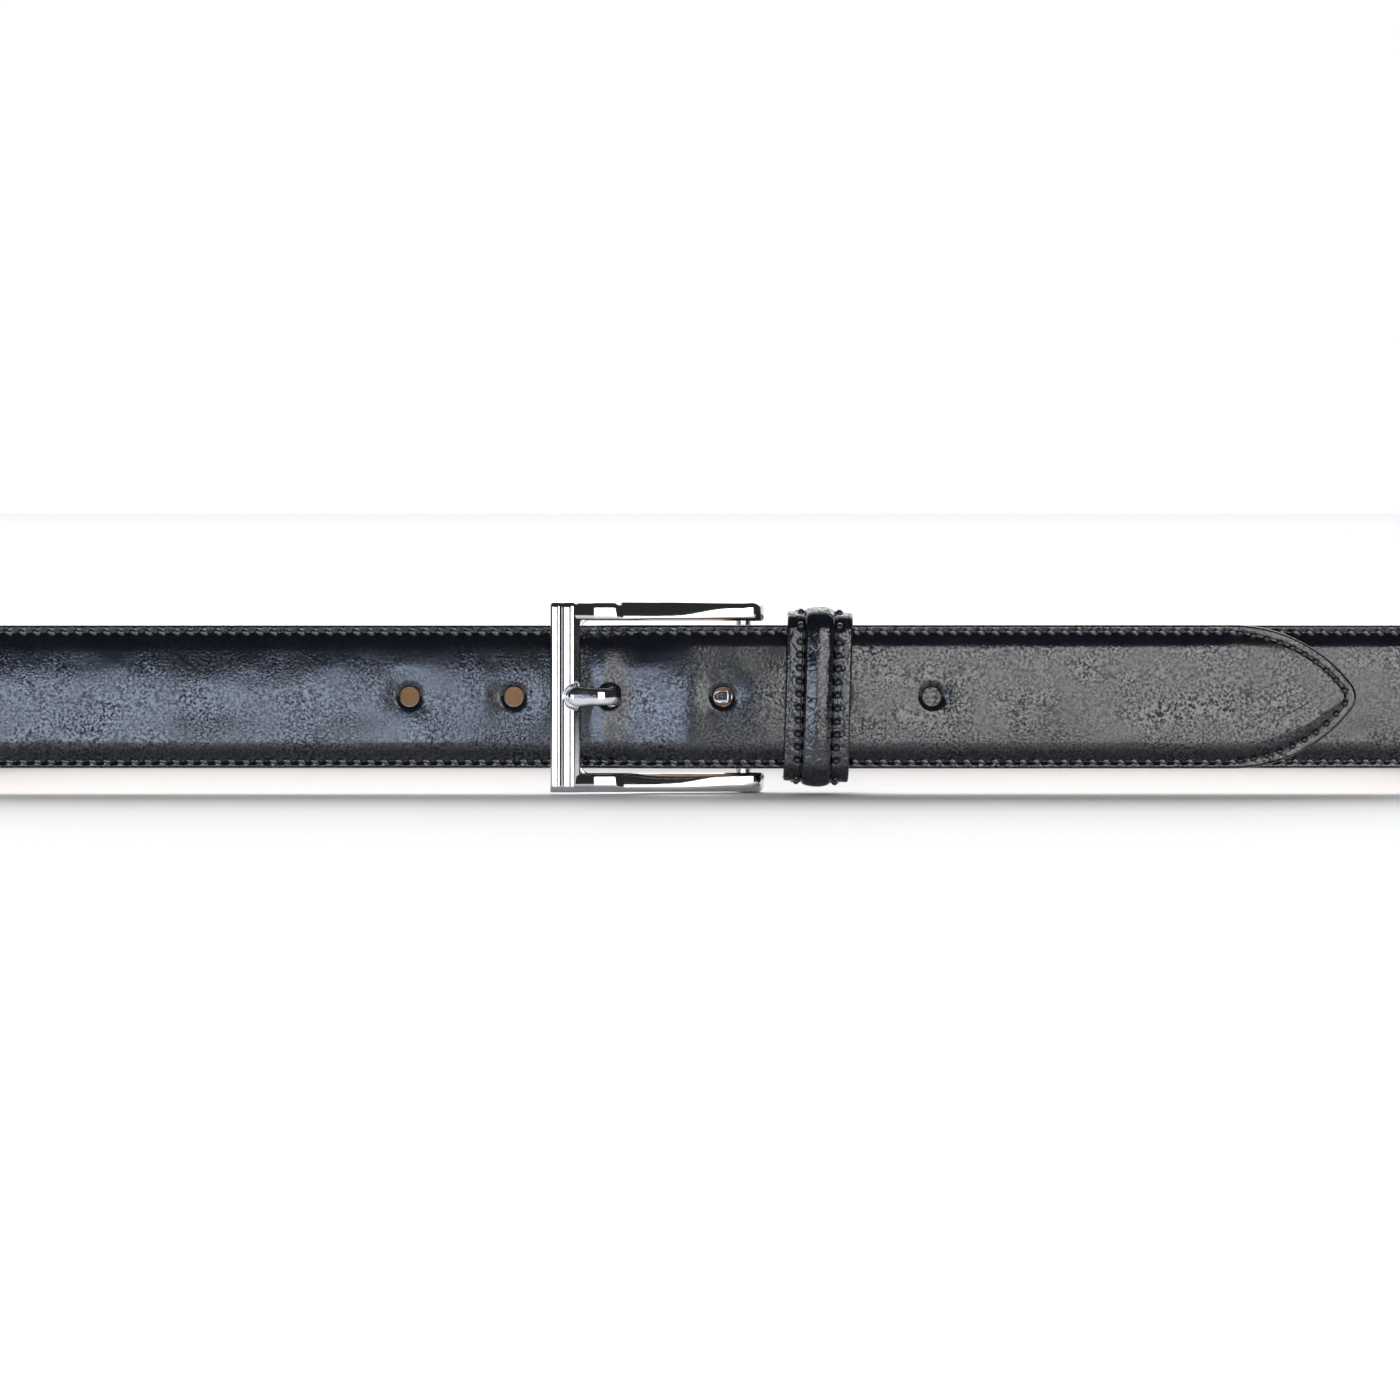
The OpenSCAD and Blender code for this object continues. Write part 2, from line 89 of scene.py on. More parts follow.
# ---- the strap's route
ROUTE = [(FLAP_STRAIGHT, 0), (FLAP_BEND, -FLAP_TURN), (FLAP_SLANT, 0), (FOLD_R, 180 + FLAP_TURN),
         (FRONT_HALF - BAR_X, 0), (BEND_R, 180), (2 * FRONT_HALF, 0), (BEND_R, 180),
         (FRONT_HALF + RAMP_START, 0), (2 * RAMP_R * RAMP_SHARE, -RAMP_TURN),
         (2 * RAMP_R * (1 - RAMP_SHARE), RAMP_TURN),
         (TIP_START - RAMP_END, 0), (60.0, 0)]
FLAP_LEG, SLANT_LEG, FRONT_LEG, LEFT_LEG, RAMP_LEG, TAIL_LEG, TIP_LEG = 1, 2, 4, 8, 9, 11, 12


def ahead(heading):
    return np.stack([np.cos(heading), np.sin(heading)], -1)


def outward(heading):
    """Direction out of the loop, to the right of a heading."""
    return np.stack([np.sin(heading), -np.cos(heading)], -1)


def route_legs():
    """Each leg as (start length, length, start point, heading, radius, hand)."""
    legs, at, heading, run = [], np.array([FLAP_END, FLAP_GAP]), pi, 0.0
    for size, turn in ROUTE:
        t = radians(turn)
        length = size if turn == 0 else size * abs(t)
        hand = 0 if turn == 0 else (1 if turn > 0 else -1)
        legs.append((run, length, at.copy(), heading, size, hand))
        if hand == 0:
            at = at + size * ahead(heading)
        else:
            centre = at - hand * size * outward(heading)
            heading += t
            at = centre + hand * size * outward(heading)
        run += length
    return legs


LEGS = route_legs()
S_FRONT, S_LEFT, S_RAMP = LEGS[FRONT_LEG][0], LEGS[LEFT_LEG][0], LEGS[RAMP_LEG][0]
S_TAIL, S_TIP = LEGS[TAIL_LEG][0], LEGS[TIP_LEG][0]


def along(s):
    """Place and outward direction on the lining's inner face at lengths s."""
    s = np.asarray(s, float)
    pos, out = np.zeros(s.shape + (2,)), np.zeros(s.shape + (2,))
    for n, (run, length, at, heading, size, hand) in enumerate(LEGS):
        last = n == len(LEGS) - 1
        inside = (s >= run if n else s >= -1e9) & ((s < run + length) | last)
        d = s[inside] - run
        if hand == 0:
            pos[inside] = at + d[:, None] * ahead(heading)
            out[inside] = outward(heading)
        else:
            out[inside] = outward(heading + hand * d / size)
            pos[inside] = at - hand * size * outward(heading) + hand * size * out[inside]
    return pos, out


def wrap(s, z, w):
    """Points of the strap, from length along it, height across it, and distance outward."""
    pos, out = along(s)
    p = pos + out * np.asarray(w, float)[..., None]
    return np.stack([p[..., 0], p[..., 1], np.asarray(z, float)], -1)


def s_of_front(x):
    """Length along the strap of a place on its outermost front layer."""
    if x < RAMP_START:
        return S_LEFT + x + FRONT_HALF
    if x > RAMP_END:
        return S_TAIL + x - RAMP_END
    lo, hi = S_RAMP, S_TAIL
    for _ in range(40):
        mid = (lo + hi) / 2
        if along([mid])[0][0][0] < x:
            lo = mid
        else:
            hi = mid
    return lo


# ---- mesh helpers
def add_object(name, data):
    obj = bpy.data.objects.new(name, data)
    bpy.context.scene.collection.objects.link(obj)
    return obj


class Build:
    """Collects the vertices and faces of one piece, in the belt's own frame."""

    def __init__(self):
        self.v, self.f, self.n = [], [], 0

    def add(self, verts, faces):
        verts = np.asarray(verts, float).reshape(-1, 3)
        self.v.append(verts)
        self.f.extend([tuple(i + self.n for i in f) for f in faces])
        self.n += len(verts)

    def grid(self, g, loop_u=False, loop_v=False, flip=False):
        """Adds a grid of points of shape (nu, nv, 3)."""
        nu, nv = g.shape[:2]
        faces = []
        for i in range(nu if loop_u else nu - 1):
            a, b = i * nv, ((i + 1) % nu) * nv
            for j in range(nv if loop_v else nv - 1):
                k = (j + 1) % nv
                q = (a + j, b + j, b + k, a + k)
                faces.append(q[::-1] if flip else q)
        self.add(g.reshape(-1, 3), faces)

    def tube(self, g, flip=False):
        """Adds rings of points of shape (rings, around, 3), closed at both ends."""
        self.grid(g, loop_v=True, flip=flip)
        rings, around = g.shape[:2]
        start = self.n - rings * around
        for ring in (range(start, start + around), range(self.n - 1, self.n - around - 1, -1)):
            self.f.append(tuple(ring)[::-1] if flip else tuple(ring))

    def piece(self, name, material, body):
        """Makes the smooth mesh, on its body and with its material slot's name."""
        mesh = bpy.data.meshes.new(name)
        mesh.from_pydata(to_row(np.concatenate(self.v)).tolist(), [], self.f)
        mesh.validate()
        obj = add_object(name, mesh)
        mesh.materials.append(material)
        mesh.polygons.foreach_set("use_smooth", [True] * len(mesh.polygons))
        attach(obj, body)
        return obj


def lattice(x, y, seed):
    """Smooth random heights from -1 to 1 with a cell of 1."""
    rng = np.random.default_rng(seed)
    table = rng.uniform(-1, 1, 4096)
    xi, yi = np.floor(x).astype(int), np.floor(y).astype(int)
    fx, fy = x - xi, y - yi
    fx, fy = fx * fx * (3 - 2 * fx), fy * fy * (3 - 2 * fy)

    def at(i, j):
        return table[(i * 73 + j * 1013 + 17 * i * j) % 4096]

    low = at(xi, yi) * (1 - fx) + at(xi + 1, yi) * fx
    high = at(xi, yi + 1) * (1 - fx) + at(xi + 1, yi + 1) * fx
    return low * (1 - fy) + high * fy


def arc_points(cx, cy, r, a0, a1, n):
    """Points of an arc, from one angle to another in degrees."""
    return [cx, cy] + r * ahead(np.radians(np.linspace(a0, a1, n)))


def smooth_step(x, a, b):
    """Goes smoothly from 0 at a to 1 at b."""
    t = np.clip((x - a) / (b - a), 0, 1)
    return t * t * (3 - 2 * t)


# ---- the strap's surface
EDGE_R = 0.6
ROW_SHIFT = 0.55       # how far the thread row moves in round the point
S_PADDED = S_FRONT + FLAT_END - BAR_X


class Hole:
    """An opening through the strap: a round hole, or a slot with round ends along the strap."""

    def __init__(self, s, half_s, half_z, roll, dimple, block_s, block_z, shear=0.0):
        self.s, self.a, self.b, self.roll, self.dimple = s, half_s, half_z, roll, dimple
        self.block_s, self.block_z, self.shear = block_s, block_z, shear

    def nearest(self, u, z):
        """The nearest point of the opening's middle line, and the distance to it."""
        c = np.clip(u, -(self.a - self.b), self.a - self.b)
        d = np.hypot(u - c, z)
        return c, d

    def sink(self, s, z):
        """How far the leather is pressed down near the opening."""
        c, d = self.nearest(s - self.s, z)
        gap = np.maximum(d - self.b, 0)
        deep = np.clip(1 - gap / self.roll, 0, 1)
        side = np.exp(-(np.maximum(np.abs(s - self.s) - self.a, 0) / 3.2) ** 2 - (z / 4.5) ** 2)
        return 0.28 * (deep ** 2 + 1 - np.sqrt(1 - deep ** 2)) * self.roll + self.dimple * side


ROUND = [Hole(s_of_front(x), HOLE_R, HOLE_R, 1.5, 0.22, 5.6, 5.0) for x in HOLES]
USED = Hole(s_of_front(-21.0), 2.75, 2.55, 1.0, 0.22, 6.3, 5.0, shear=0.9)
SLOT_LOW, SLOT_HIGH = LEGS[SLANT_LEG][0] - 0.6, S_FRONT + 4.2
FOLD_SLOT = Hole((SLOT_LOW + SLOT_HIGH) / 2, (SLOT_HIGH - SLOT_LOW) / 2, 3.1, 0.35, 0.0,
                 (SLOT_HIGH - SLOT_LOW) / 2 + 2.0, 5.0)
OPENINGS = ROUND + [USED, FOLD_SLOT]


def crown_profile(slope_at_10):
    """Height of the padded strap across half its width: a soft crown that rolls over into the shoulder."""
    z = np.linspace(0, SHOULDER_HALF, 400)
    soft = slope_at_10 * (z / 10.0) ** 1.3
    steep = smooth_step(z, 10.9, 14.7)

    def drop(slope):
        return np.concatenate([[0], np.cumsum((slope[1:] + slope[:-1]) / 2 * np.diff(z))])

    a, b = drop(soft), drop(steep)
    return z, DOME_W - a - b * (DOME_W - MARGIN_W - a[-1]) / b[-1]


CROWN_Z, CROWN_UPPER = crown_profile(0.062)
_, CROWN_LOWER = crown_profile(0.016)


def section(inset, upper):
    """Height of the padded strap over its lining at a distance inside its upper or lower edge."""
    z = np.clip(HALF - inset, 0, HALF)
    crown = np.interp(z, CROWN_Z, CROWN_UPPER) * upper + np.interp(z, CROWN_Z, CROWN_LOWER) * (1 - upper)
    return np.where(z < SHOULDER_HALF, crown, MARGIN_W) + edge_round(inset)


def edge_round(inset, r=EDGE_R):
    """How far a rounded edge falls at a distance inside it, as a negative height."""
    return np.sqrt(r ** 2 - np.clip(r - inset, 0, r) ** 2) - r


def row_inset(point):
    """How far the thread row lies inside the edge. The row moves in a little round the point."""
    return HALF - STITCH_Z + ROW_SHIFT * point


def stitch_groove(inset, run, point):
    """The channel that the thread lies in, deepest under each stitch's ends."""
    across = np.exp(-((inset - row_inset(point)) / (0.62 - 0.26 * point)) ** 2)
    between = np.clip(np.cos(2 * pi * run / PITCH) + 0.15, 0, 1)
    pit = between * (1 - point) + 0.35 * point
    return (0.6 - 0.2 * point) * across * pit


def top_height(s, z, inset, run):
    """Height of the outer face over the lining's inner face."""
    thinned = (0.8 - 0.6 * smooth_step(-z, 0.0, 8.0)) * smooth_step(s, S_TIP - 10, S_TIP + 25)
    padded = smooth_step(s, S_PADDED - 1.5, S_PADDED + 2.5) * (1 - thinned)
    flat = MARGIN_W + edge_round(inset)
    w = flat + (section(inset, smooth_step(z, -3.0, 3.0)) - flat) * padded
    groove = stitch_groove(inset, run, smooth_step(s, S_TIP - 2, S_TIP + 8))
    w = w - groove * smooth_step(s, S_PADDED - 2, S_PADDED + 1)
    inner = smooth_step(inset, 1.0, 4.0) * padded
    w = w + inner * (0.10 * lattice(s / 19.0, z / 11.0, 3) + 0.022 * lattice(s / 5.5, z / 4.0, 4))
    margin = np.exp(-((inset - 1.0) / 0.6) ** 2)
    w = w + 0.03 * margin * lattice(s / 2.3, z / 3.0, 5)
    for hole in OPENINGS:
        near = np.abs(s - hole.s) < hole.a + 12
        w = w - np.where(near, hole.sink(s, z), 0)
    return w


# Heights across the strap where its mesh has a row, closer over the shoulder and the stitches.
TOP_Z = [*range(10), 9.9, 10.5, 11.1, 11.7, 12.25, 12.75, 13.2, 13.6, 13.95, 14.25, 14.45, 14.62, 14.8, 15.0,
         15.18, 15.36, 15.54, 15.72, 15.9, 16.1, 16.4, 16.7, 16.9, 17.1, 17.28, 17.42, 17.48, 17.5]
WALL_W = [1.7, 1.2, 0.7, 0.46]
LOW_Z = [0, 2.5, 5, 9, 13, 17.3, 17.44]


def columns(fine):
    """Lengths along the strap where its mesh has a column, closer in bends and on the visible front."""
    marks = [0.0]
    while marks[-1] < S_TIP - 1e-6:
        s = marks[-1]
        if s < S_FRONT + 6:
            step = 0.3 if LEGS[FLAP_LEG][0] - 1 < s < S_FRONT else 0.85
        elif s < S_LEFT:
            step = PITCH / 4
        else:
            step = PITCH / 6
        marks.append(s + step * (1 if fine else 2))
    marks = np.array(marks)
    return marks * (S_TIP / marks[-1])


def tip_columns(count_side, count_nose):
    """The pointed tip's columns, as the side arc's angles, then the nose's."""
    low = degrees(atan2(SIDE_R - HALF, NOSE_X))
    side = [("side", a) for a in np.linspace(90, low, count_side + 1)[1:]]
    nose = [("nose", a) for a in np.linspace(low, 0, count_nose + 1)[1:]]
    return side + nose


def tip_inset(x, z):
    """Distance inside the point's edge."""
    if x > NOSE_X and atan2(abs(z), x - NOSE_X) < atan2(SIDE_R - HALF, NOSE_X):
        return NOSE_R - hypot(x - NOSE_X, z)
    return SIDE_R - hypot(x, abs(z) + SIDE_R - HALF)


def tip_point(kind, angle, inset, share):
    """Place in the tip at an inset from its edge, and at a share of the way out from the middle."""
    a, drop = radians(angle), SIDE_R - HALF
    if kind == "nose":
        r = max(NOSE_R - inset, 0)
        return NOSE_X + r * cos(a), r * sin(a)
    deep = min(inset, SIDE_R - drop / sin(a))
    return (SIDE_R - deep) * cos(a), ((SIDE_R - deep) * sin(a) - drop) * share


class Sheet:
    """One face of the strap as a mesh over (length, height across, distance outward)."""

    def __init__(self, cols, rows, height, walls, holes, floor, rim_rings):
        self.height, self.floor, self.rim_rings = height, floor, rim_rings
        half_z = np.array(rows + [rows[-1]] * len(walls), float)
        half_wall = np.array([np.nan] * len(rows) + walls)
        z = np.concatenate([-half_z[:0:-1], half_z])
        wall = np.concatenate([half_wall[:0:-1], half_wall])
        s_grid, z_grid = np.meshgrid(cols, z, indexing="ij")
        w_grid = height(s_grid, z_grid, HALF - np.abs(z_grid), s_grid)
        w_grid = np.where(np.isnan(wall), w_grid, wall)
        self.p = [np.stack([s_grid, z_grid, w_grid], -1).reshape(-1, 3)]
        self.n = s_grid.size
        nz = len(z)
        ids = np.arange(self.n).reshape(len(cols), nz)
        keep = np.ones((len(cols) - 1, nz - 1), bool)
        self.f = []
        for hole in holes:
            i0 = int(np.searchsorted(cols, hole.s - hole.block_s))
            i1 = int(np.searchsorted(cols, hole.s + hole.block_s))
            j0 = int(np.argmin(np.abs(z + hole.block_z) + 9 * ~np.isnan(wall)))
            j1 = int(np.argmin(np.abs(z - hole.block_z) + 9 * ~np.isnan(wall)))
            keep[i0:i1, j0:j1] = False
            self.patch(hole, [*ids[i0:i1, j0], *ids[i1, j0:j1], *ids[i1:i0:-1, j1], *ids[i0, j1:j0:-1]])
        i, j = np.nonzero(keep)
        self.f.extend(np.stack([ids[i, j], ids[i + 1, j], ids[i + 1, j + 1], ids[i, j + 1]], 1).tolist())
        self.tip(ids[-1], z, wall)
        self.start = ids[0]

    def push(self, s, z, w):
        """Adds points and returns their numbers."""
        block = np.stack([s, z, w], -1).astype(float).reshape(-1, 3)
        self.p.append(block)
        first = self.n
        self.n += len(block)
        return np.arange(first, self.n)

    def patch(self, hole, loop):
        """Joins the square cut out of the mesh to the opening's rim, then goes down its wall."""
        edge = self.p[0][loop]
        u, z = edge[:, 0] - hole.s, edge[:, 1]
        c, d = hole.nearest(u, z)
        nu, nz = (u - c) / d, z / d
        qu, qz = c + nu * hole.b, nz * hole.b
        rings = []
        reach = min(self.rim_rings[0] + 0.5, (hole.block_z - hole.b) * 0.8)
        for share in (0.33, 0.67):
            rings.append((u + (qu + nu * reach - u) * share, z + (qz + nz * reach - z) * share))
        for gap in [reach] + [g for g in self.rim_rings if g < reach - 0.1]:
            rings.append((qu + nu * gap, qz + nz * gap))
        last = loop
        for ru, rz in rings:
            top = self.height(ru + hole.s, rz, HALF - np.abs(rz), ru + hole.s)
            now = self.push(ru + hole.s, rz, top)
            self.band(last, now)
            last = now
        levels = 6 if self.floor is not None else 0
        for k in range(1, levels + 1):
            w = top + (self.floor - top) * k / levels
            now = self.push(qu + hole.s + (top - w) * hole.shear, qz, w)
            self.band(last, now)
            last = now

    def band(self, outer, inner):
        """Joins two closed loops of points."""
        self.f.extend(zip(outer, np.roll(outer, -1), np.roll(inner, -1), inner))

    def tip(self, last, heights, wall):
        """Carries the mesh on round the point. Its rows keep their distance from the edge."""
        cols = tip_columns(46, 22) if len(heights) > 40 else tip_columns(24, 10)
        run = S_TIP
        before = None
        for kind, angle in cols:
            s_row, z_row, e_row = [], [], []
            for z in heights:
                inset, share = HALF - max(abs(z), FLAT_HALF), min(abs(z) / FLAT_HALF, 1.0)
                x, zz = tip_point(kind, angle, inset, share)
                s_row.append(S_TIP + x)
                z_row.append(copysign(zz, z) if z else 0.0)
                e_row.append(max(tip_inset(x, zz), 0.0))
            edge = np.array([s_row[-1], z_row[-1]])
            if before is not None:
                run += float(np.hypot(*(edge - before)))
            before = edge
            s_row, z_row, e_row = map(np.array, (s_row, z_row, e_row))
            w = self.height(s_row, z_row, e_row, np.full(len(s_row), run))
            now = self.push(s_row, z_row, np.where(np.isnan(wall), w, wall))
            self.f.extend(zip(last, now, now[1:], last[1:]))
            last = now

    def points(self):
        return wrap(*np.concatenate(self.p).T)


def strap_piece(name, top, under, end_w, material):
    """Joins an outer and an inner face into one piece, and closes the flap's end."""
    build = Build()
    build.add(top.points(), top.f)
    build.add(under.points(), [f[::-1] for f in under.f])
    p = top.p[0][top.start]
    low = p.copy()
    low[:, 2] = end_w
    build.grid(np.stack([wrap(*low.T), wrap(*p.T)]))
    obj = build.piece(name, material, "strap")
    weld(obj, 0.004)
    return obj


def weld(obj, gap_mm):
    """Joins points that lie together, and drops what is left without a face."""
    bm = bmesh.new()
    bm.from_mesh(obj.data)
    bmesh.ops.remove_doubles(bm, verts=bm.verts, dist=gap_mm * MM)
    bmesh.ops.dissolve_degenerate(bm, dist=1e-7, edges=bm.edges)
    loose = [v for v in bm.verts if not v.link_faces]
    bmesh.ops.delete(bm, geom=loose, context="VERTS")
    bm.to_mesh(obj.data)
    bm.free()
    obj.data.update()


# ---- materials
def new_material(name):
    """A material with a principled shader, and the piece's own coordinates to colour it by."""
    mat = bpy.data.materials.new(name)
    mat.use_nodes = True
    tree = mat.node_tree
    tree.nodes.clear()
    out, bsdf = node(tree, "OutputMaterial"), node(tree, "BsdfPrincipled")
    tree.links.new(bsdf.outputs[0], out.inputs[0])
    return mat, tree, bsdf, node(tree, "TexCoord").outputs["Object"]


def feed(tree, target, value):
    """Links another node's output to an input, or sets the input's own value."""
    if isinstance(value, bpy.types.NodeSocket):
        tree.links.new(value, target)
    else:
        target.default_value = value


def feed_all(tree, n, **inputs):
    for key, value in inputs.items():
        feed(tree, n.inputs[key.replace("_", " ")], value)


def node(tree, kind, **inputs):
    n = tree.nodes.new("ShaderNode" + kind)
    feed_all(tree, n, **inputs)
    return n


def noise(tree, place, scale, detail=3.0, rough=0.5, distortion=0.0):
    return node(tree, "TexNoise", Vector=place, Scale=scale, Detail=detail, Roughness=rough,
                Distortion=distortion).outputs["Fac"]


def maths(tree, kind, a, b=0.5):
    n = node(tree, "Math")
    n.operation = kind
    feed(tree, n.inputs[0], a)
    feed(tree, n.inputs[1], b)
    return n.outputs[0]


def remap(tree, value, low, high, to_low, to_high):
    return node(tree, "MapRange", Value=value, From_Min=low, From_Max=high, To_Min=to_low,
                To_Max=to_high).outputs[0]


def bump(tree, height, distance, strength=1.0, normal=None):
    n = node(tree, "Bump", Height=height, Distance=distance, Strength=strength)
    if normal is not None:
        tree.links.new(normal, n.inputs["Normal"])
    return n.outputs[0]


def mix(tree, fac, a, b):
    n = node(tree, "Mix")
    n.data_type = "RGBA"
    for key, value in ((0, fac), (6, a), (7, b)):
        feed(tree, n.inputs[key], value)
    return n.outputs[2]


def tip_creases(tree, place):
    """Faint slanting creases near the tail's tip."""
    turn = node(tree, "Mapping", Vector=place, Rotation=(0, radians(24), 0))
    turn = node(tree, "Mapping", Vector=turn.outputs[0], Scale=(48, 48, 520))
    streaks = noise(tree, turn.outputs[0], 1.0, 1.0, 0.5, 0.3)
    lines = maths(tree, "ABSOLUTE", maths(tree, "SUBTRACT", streaks, 0.5))
    lines = remap(tree, lines, 0.0, 0.035, 0.0, 1.0)
    x = node(tree, "SeparateXYZ", Vector=place)
    near = maths(tree, "MULTIPLY", remap(tree, x.outputs["X"], 0.120, 0.142, 0.0, 1.0),
                 remap(tree, x.outputs["Y"], -0.0525, -0.0530, 0.0, 1.0))
    return maths(tree, "MULTIPLY", lines, near)


def black_leather(name, gloss=0.17, crinkle=0.0, creased_tip=False):
    """Glossy black leather: fine pores, a speckled and slightly cloudy shine, and faint creases."""
    mat, tree, bsdf, place = new_material(name)
    pores = remap(tree, noise(tree, place, 1700.0, 1.0), 0.42, 0.64, 1.0, 0.0)
    density = remap(tree, noise(tree, place, 75.0, 3.0, 0.6), 0.36, 0.66, 0.25, 1.0)
    height = maths(tree, "MULTIPLY", pores, density)
    normal = bump(tree, height, 0.000012, 1.0)
    shine = remap(tree, noise(tree, place, 1500.0, 1.0), 0.34, 0.66, 0.0, 1.0)
    shine = maths(tree, "MULTIPLY", maths(tree, "SUBTRACT", shine, 0.5), density)
    soft = noise(tree, place, 300.0, 3.0, 0.55)
    normal = bump(tree, soft, 0.00005, 0.16, normal)
    if creased_tip:
        normal = bump(tree, tip_creases(tree, place), 0.000035, 0.6, normal)
    if crinkle:
        creases = node(tree, "TexVoronoi", Vector=place, Scale=420.0, Randomness=1.0)
        creases.feature = "DISTANCE_TO_EDGE"
        lines = remap(tree, creases.outputs["Distance"], 0.0, 0.16, 0.0, 1.0)
        normal = bump(tree, lines, 0.00006 * crinkle, 0.6, normal)
    cloud = noise(tree, place, 60.0, 4.0, 0.6)
    wear = noise(tree, place, 900.0, 3.0, 0.7)
    rough = maths(tree, "ADD", remap(tree, cloud, 0.35, 0.7, gloss - 0.03, gloss + 0.05),
                  remap(tree, wear, 0.4, 0.8, -0.015, 0.03))
    color = mix(tree, remap(tree, cloud, 0.3, 0.75, 0.0, 1.0), (0.004, 0.0055, 0.009, 1),
                (0.008, 0.010, 0.015, 1))
    level = maths(tree, "ADD", maths(tree, "MULTIPLY", shine, 0.9), 0.5)
    feed_all(tree, bsdf, Base_Color=color, Roughness=rough, Normal=normal, Coat_Normal=normal,
             Specular_IOR_Level=level, Coat_Weight=level, Coat_Roughness=0.09)
    return mat


def tan_leather(name):
    """Matt tan leather with a short, fibrous nap."""
    mat, tree, bsdf, place = new_material(name)
    fibre = noise(tree, place, 1500.0, 4.0, 0.65)
    blotch = noise(tree, place, 45.0, 4.0, 0.6)
    color = mix(tree, remap(tree, blotch, 0.3, 0.75, 0.0, 1.0), (0.34, 0.19, 0.095, 1),
                (0.47, 0.29, 0.16, 1))
    color = mix(tree, remap(tree, fibre, 0.45, 0.8, 0.0, 0.45), color, (0.24, 0.13, 0.065, 1))
    feed_all(tree, bsdf, Base_Color=color, Roughness=remap(tree, blotch, 0.3, 0.8, 0.48, 0.62),
             Normal=bump(tree, fibre, 0.00008, 0.6))
    return mat


def thread_material(name, gloss, coat):
    """Waxed black thread."""
    mat, tree, bsdf, place = new_material(name)
    fibre = noise(tree, place, 4200.0, 2.0, 0.6)
    color = mix(tree, fibre, (0.004, 0.004, 0.005, 1), (0.02, 0.02, 0.022, 1))
    feed_all(tree, bsdf, Base_Color=color, Roughness=remap(tree, fibre, 0.3, 0.7, gloss, gloss + 0.1),
             Normal=bump(tree, fibre, 0.00002, 0.6), Specular_IOR_Level=0.7, Coat_Weight=coat,
             Coat_Roughness=0.08)
    return mat


def nickel(name, rough, tint=(0.74, 0.745, 0.76, 1)):
    """Polished plate with the faint haze and fine rub marks of handling."""
    mat, tree, bsdf, place = new_material(name)
    haze = noise(tree, place, 180.0, 4.0, 0.65)
    marks = noise(tree, place, 2600.0, 2.0, 0.7, 0.4)
    r = maths(tree, "ADD", remap(tree, haze, 0.35, 0.75, rough, rough + 0.05),
              remap(tree, marks, 0.5, 0.85, 0.0, 0.05))
    color = mix(tree, remap(tree, haze, 0.3, 0.7, 0.0, 1.0), tint,
                (tint[0] * 0.94, tint[1] * 0.945, tint[2] * 0.955, 1))
    feed_all(tree, bsdf, Base_Color=color, Roughness=r, Normal=bump(tree, haze, 0.00004, 0.12), Metallic=1.0)
    return mat


LEATHER_MAT = black_leather("black_leather", creased_tip=True)
KEEPER_MAT = black_leather("keeper_leather", gloss=0.15, crinkle=0.5)
INNER_MAT = black_leather("keeper_inner_leather", gloss=0.38)
TAN_MAT = tan_leather("tan_lining")
THREAD_MAT = thread_material("black_thread", 0.16, 0.7)
KNOT_MAT = thread_material("black_knot_thread", 0.08, 0.15)
NICKEL_MAT = nickel("polished_nickel", 0.05)
BAR_MAT = nickel("hinge_bar_nickel", 0.22, (0.62, 0.62, 0.63, 1))

# ---- strap pieces
FINE, COARSE = columns(True), columns(False)
RIMS_TOP = [2.3, 1.7, 1.3, 1.05, 0.8, 0.58, 0.38, 0.2, 0.08, 0.0]
RIMS_LOW = [1.2, 0.5, 0.25, 0.0]


def low_height(level):
    """A hidden face at one height."""
    def height(s, z, inset, run):
        return np.full(np.shape(s), level)
    return height


def lining_height(s, z, inset, run):
    """The lining's inner face, with a shallow line pressed by the thread."""
    across = np.exp(-((inset - (HALF - STITCH_Z)) / 0.5) ** 2)
    w = 0.10 * across + 0.06 * np.clip(1 - (inset - 0.2) / 0.5, 0, 1)
    w = w + 0.02 * lattice(s / 14.0, z / 8.0, 8)
    for hole in OPENINGS:
        near = np.abs(s - hole.s) < hole.a + 8
        _, d = hole.nearest(s - hole.s, z)
        w = w + np.where(near, 0.25 * np.clip(1 - (d - hole.b) / 0.6, 0, 1), 0)
    return w


LINING_Z = [0, 2.5, 5, 8, 11, 14, 14.9, 15.2, 15.5, 15.8, 16.1, 16.8, 17.2, 17.42]
SPLIT_W = 0.45
skin_top = Sheet(FINE, TOP_Z, top_height, WALL_W, OPENINGS, SPLIT_W, RIMS_TOP)
skin_low = Sheet(COARSE, LOW_Z, low_height(SPLIT_W + 0.01), [], OPENINGS, None, RIMS_LOW)
strap = strap_piece("strap_leather", skin_top, skin_low, SPLIT_W + 0.01, LEATHER_MAT)
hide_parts("outer_leather", "strap_filler")

lining_top = Sheet(COARSE, LOW_Z, low_height(SPLIT_W), [], OPENINGS, None, RIMS_LOW)
lining_low = Sheet(COARSE, LINING_Z, lining_height, [], OPENINGS, SPLIT_W, RIMS_LOW)
lining = strap_piece("strap_lining", lining_top, lining_low, 0.05, TAN_MAT)
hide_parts("lining_leather")


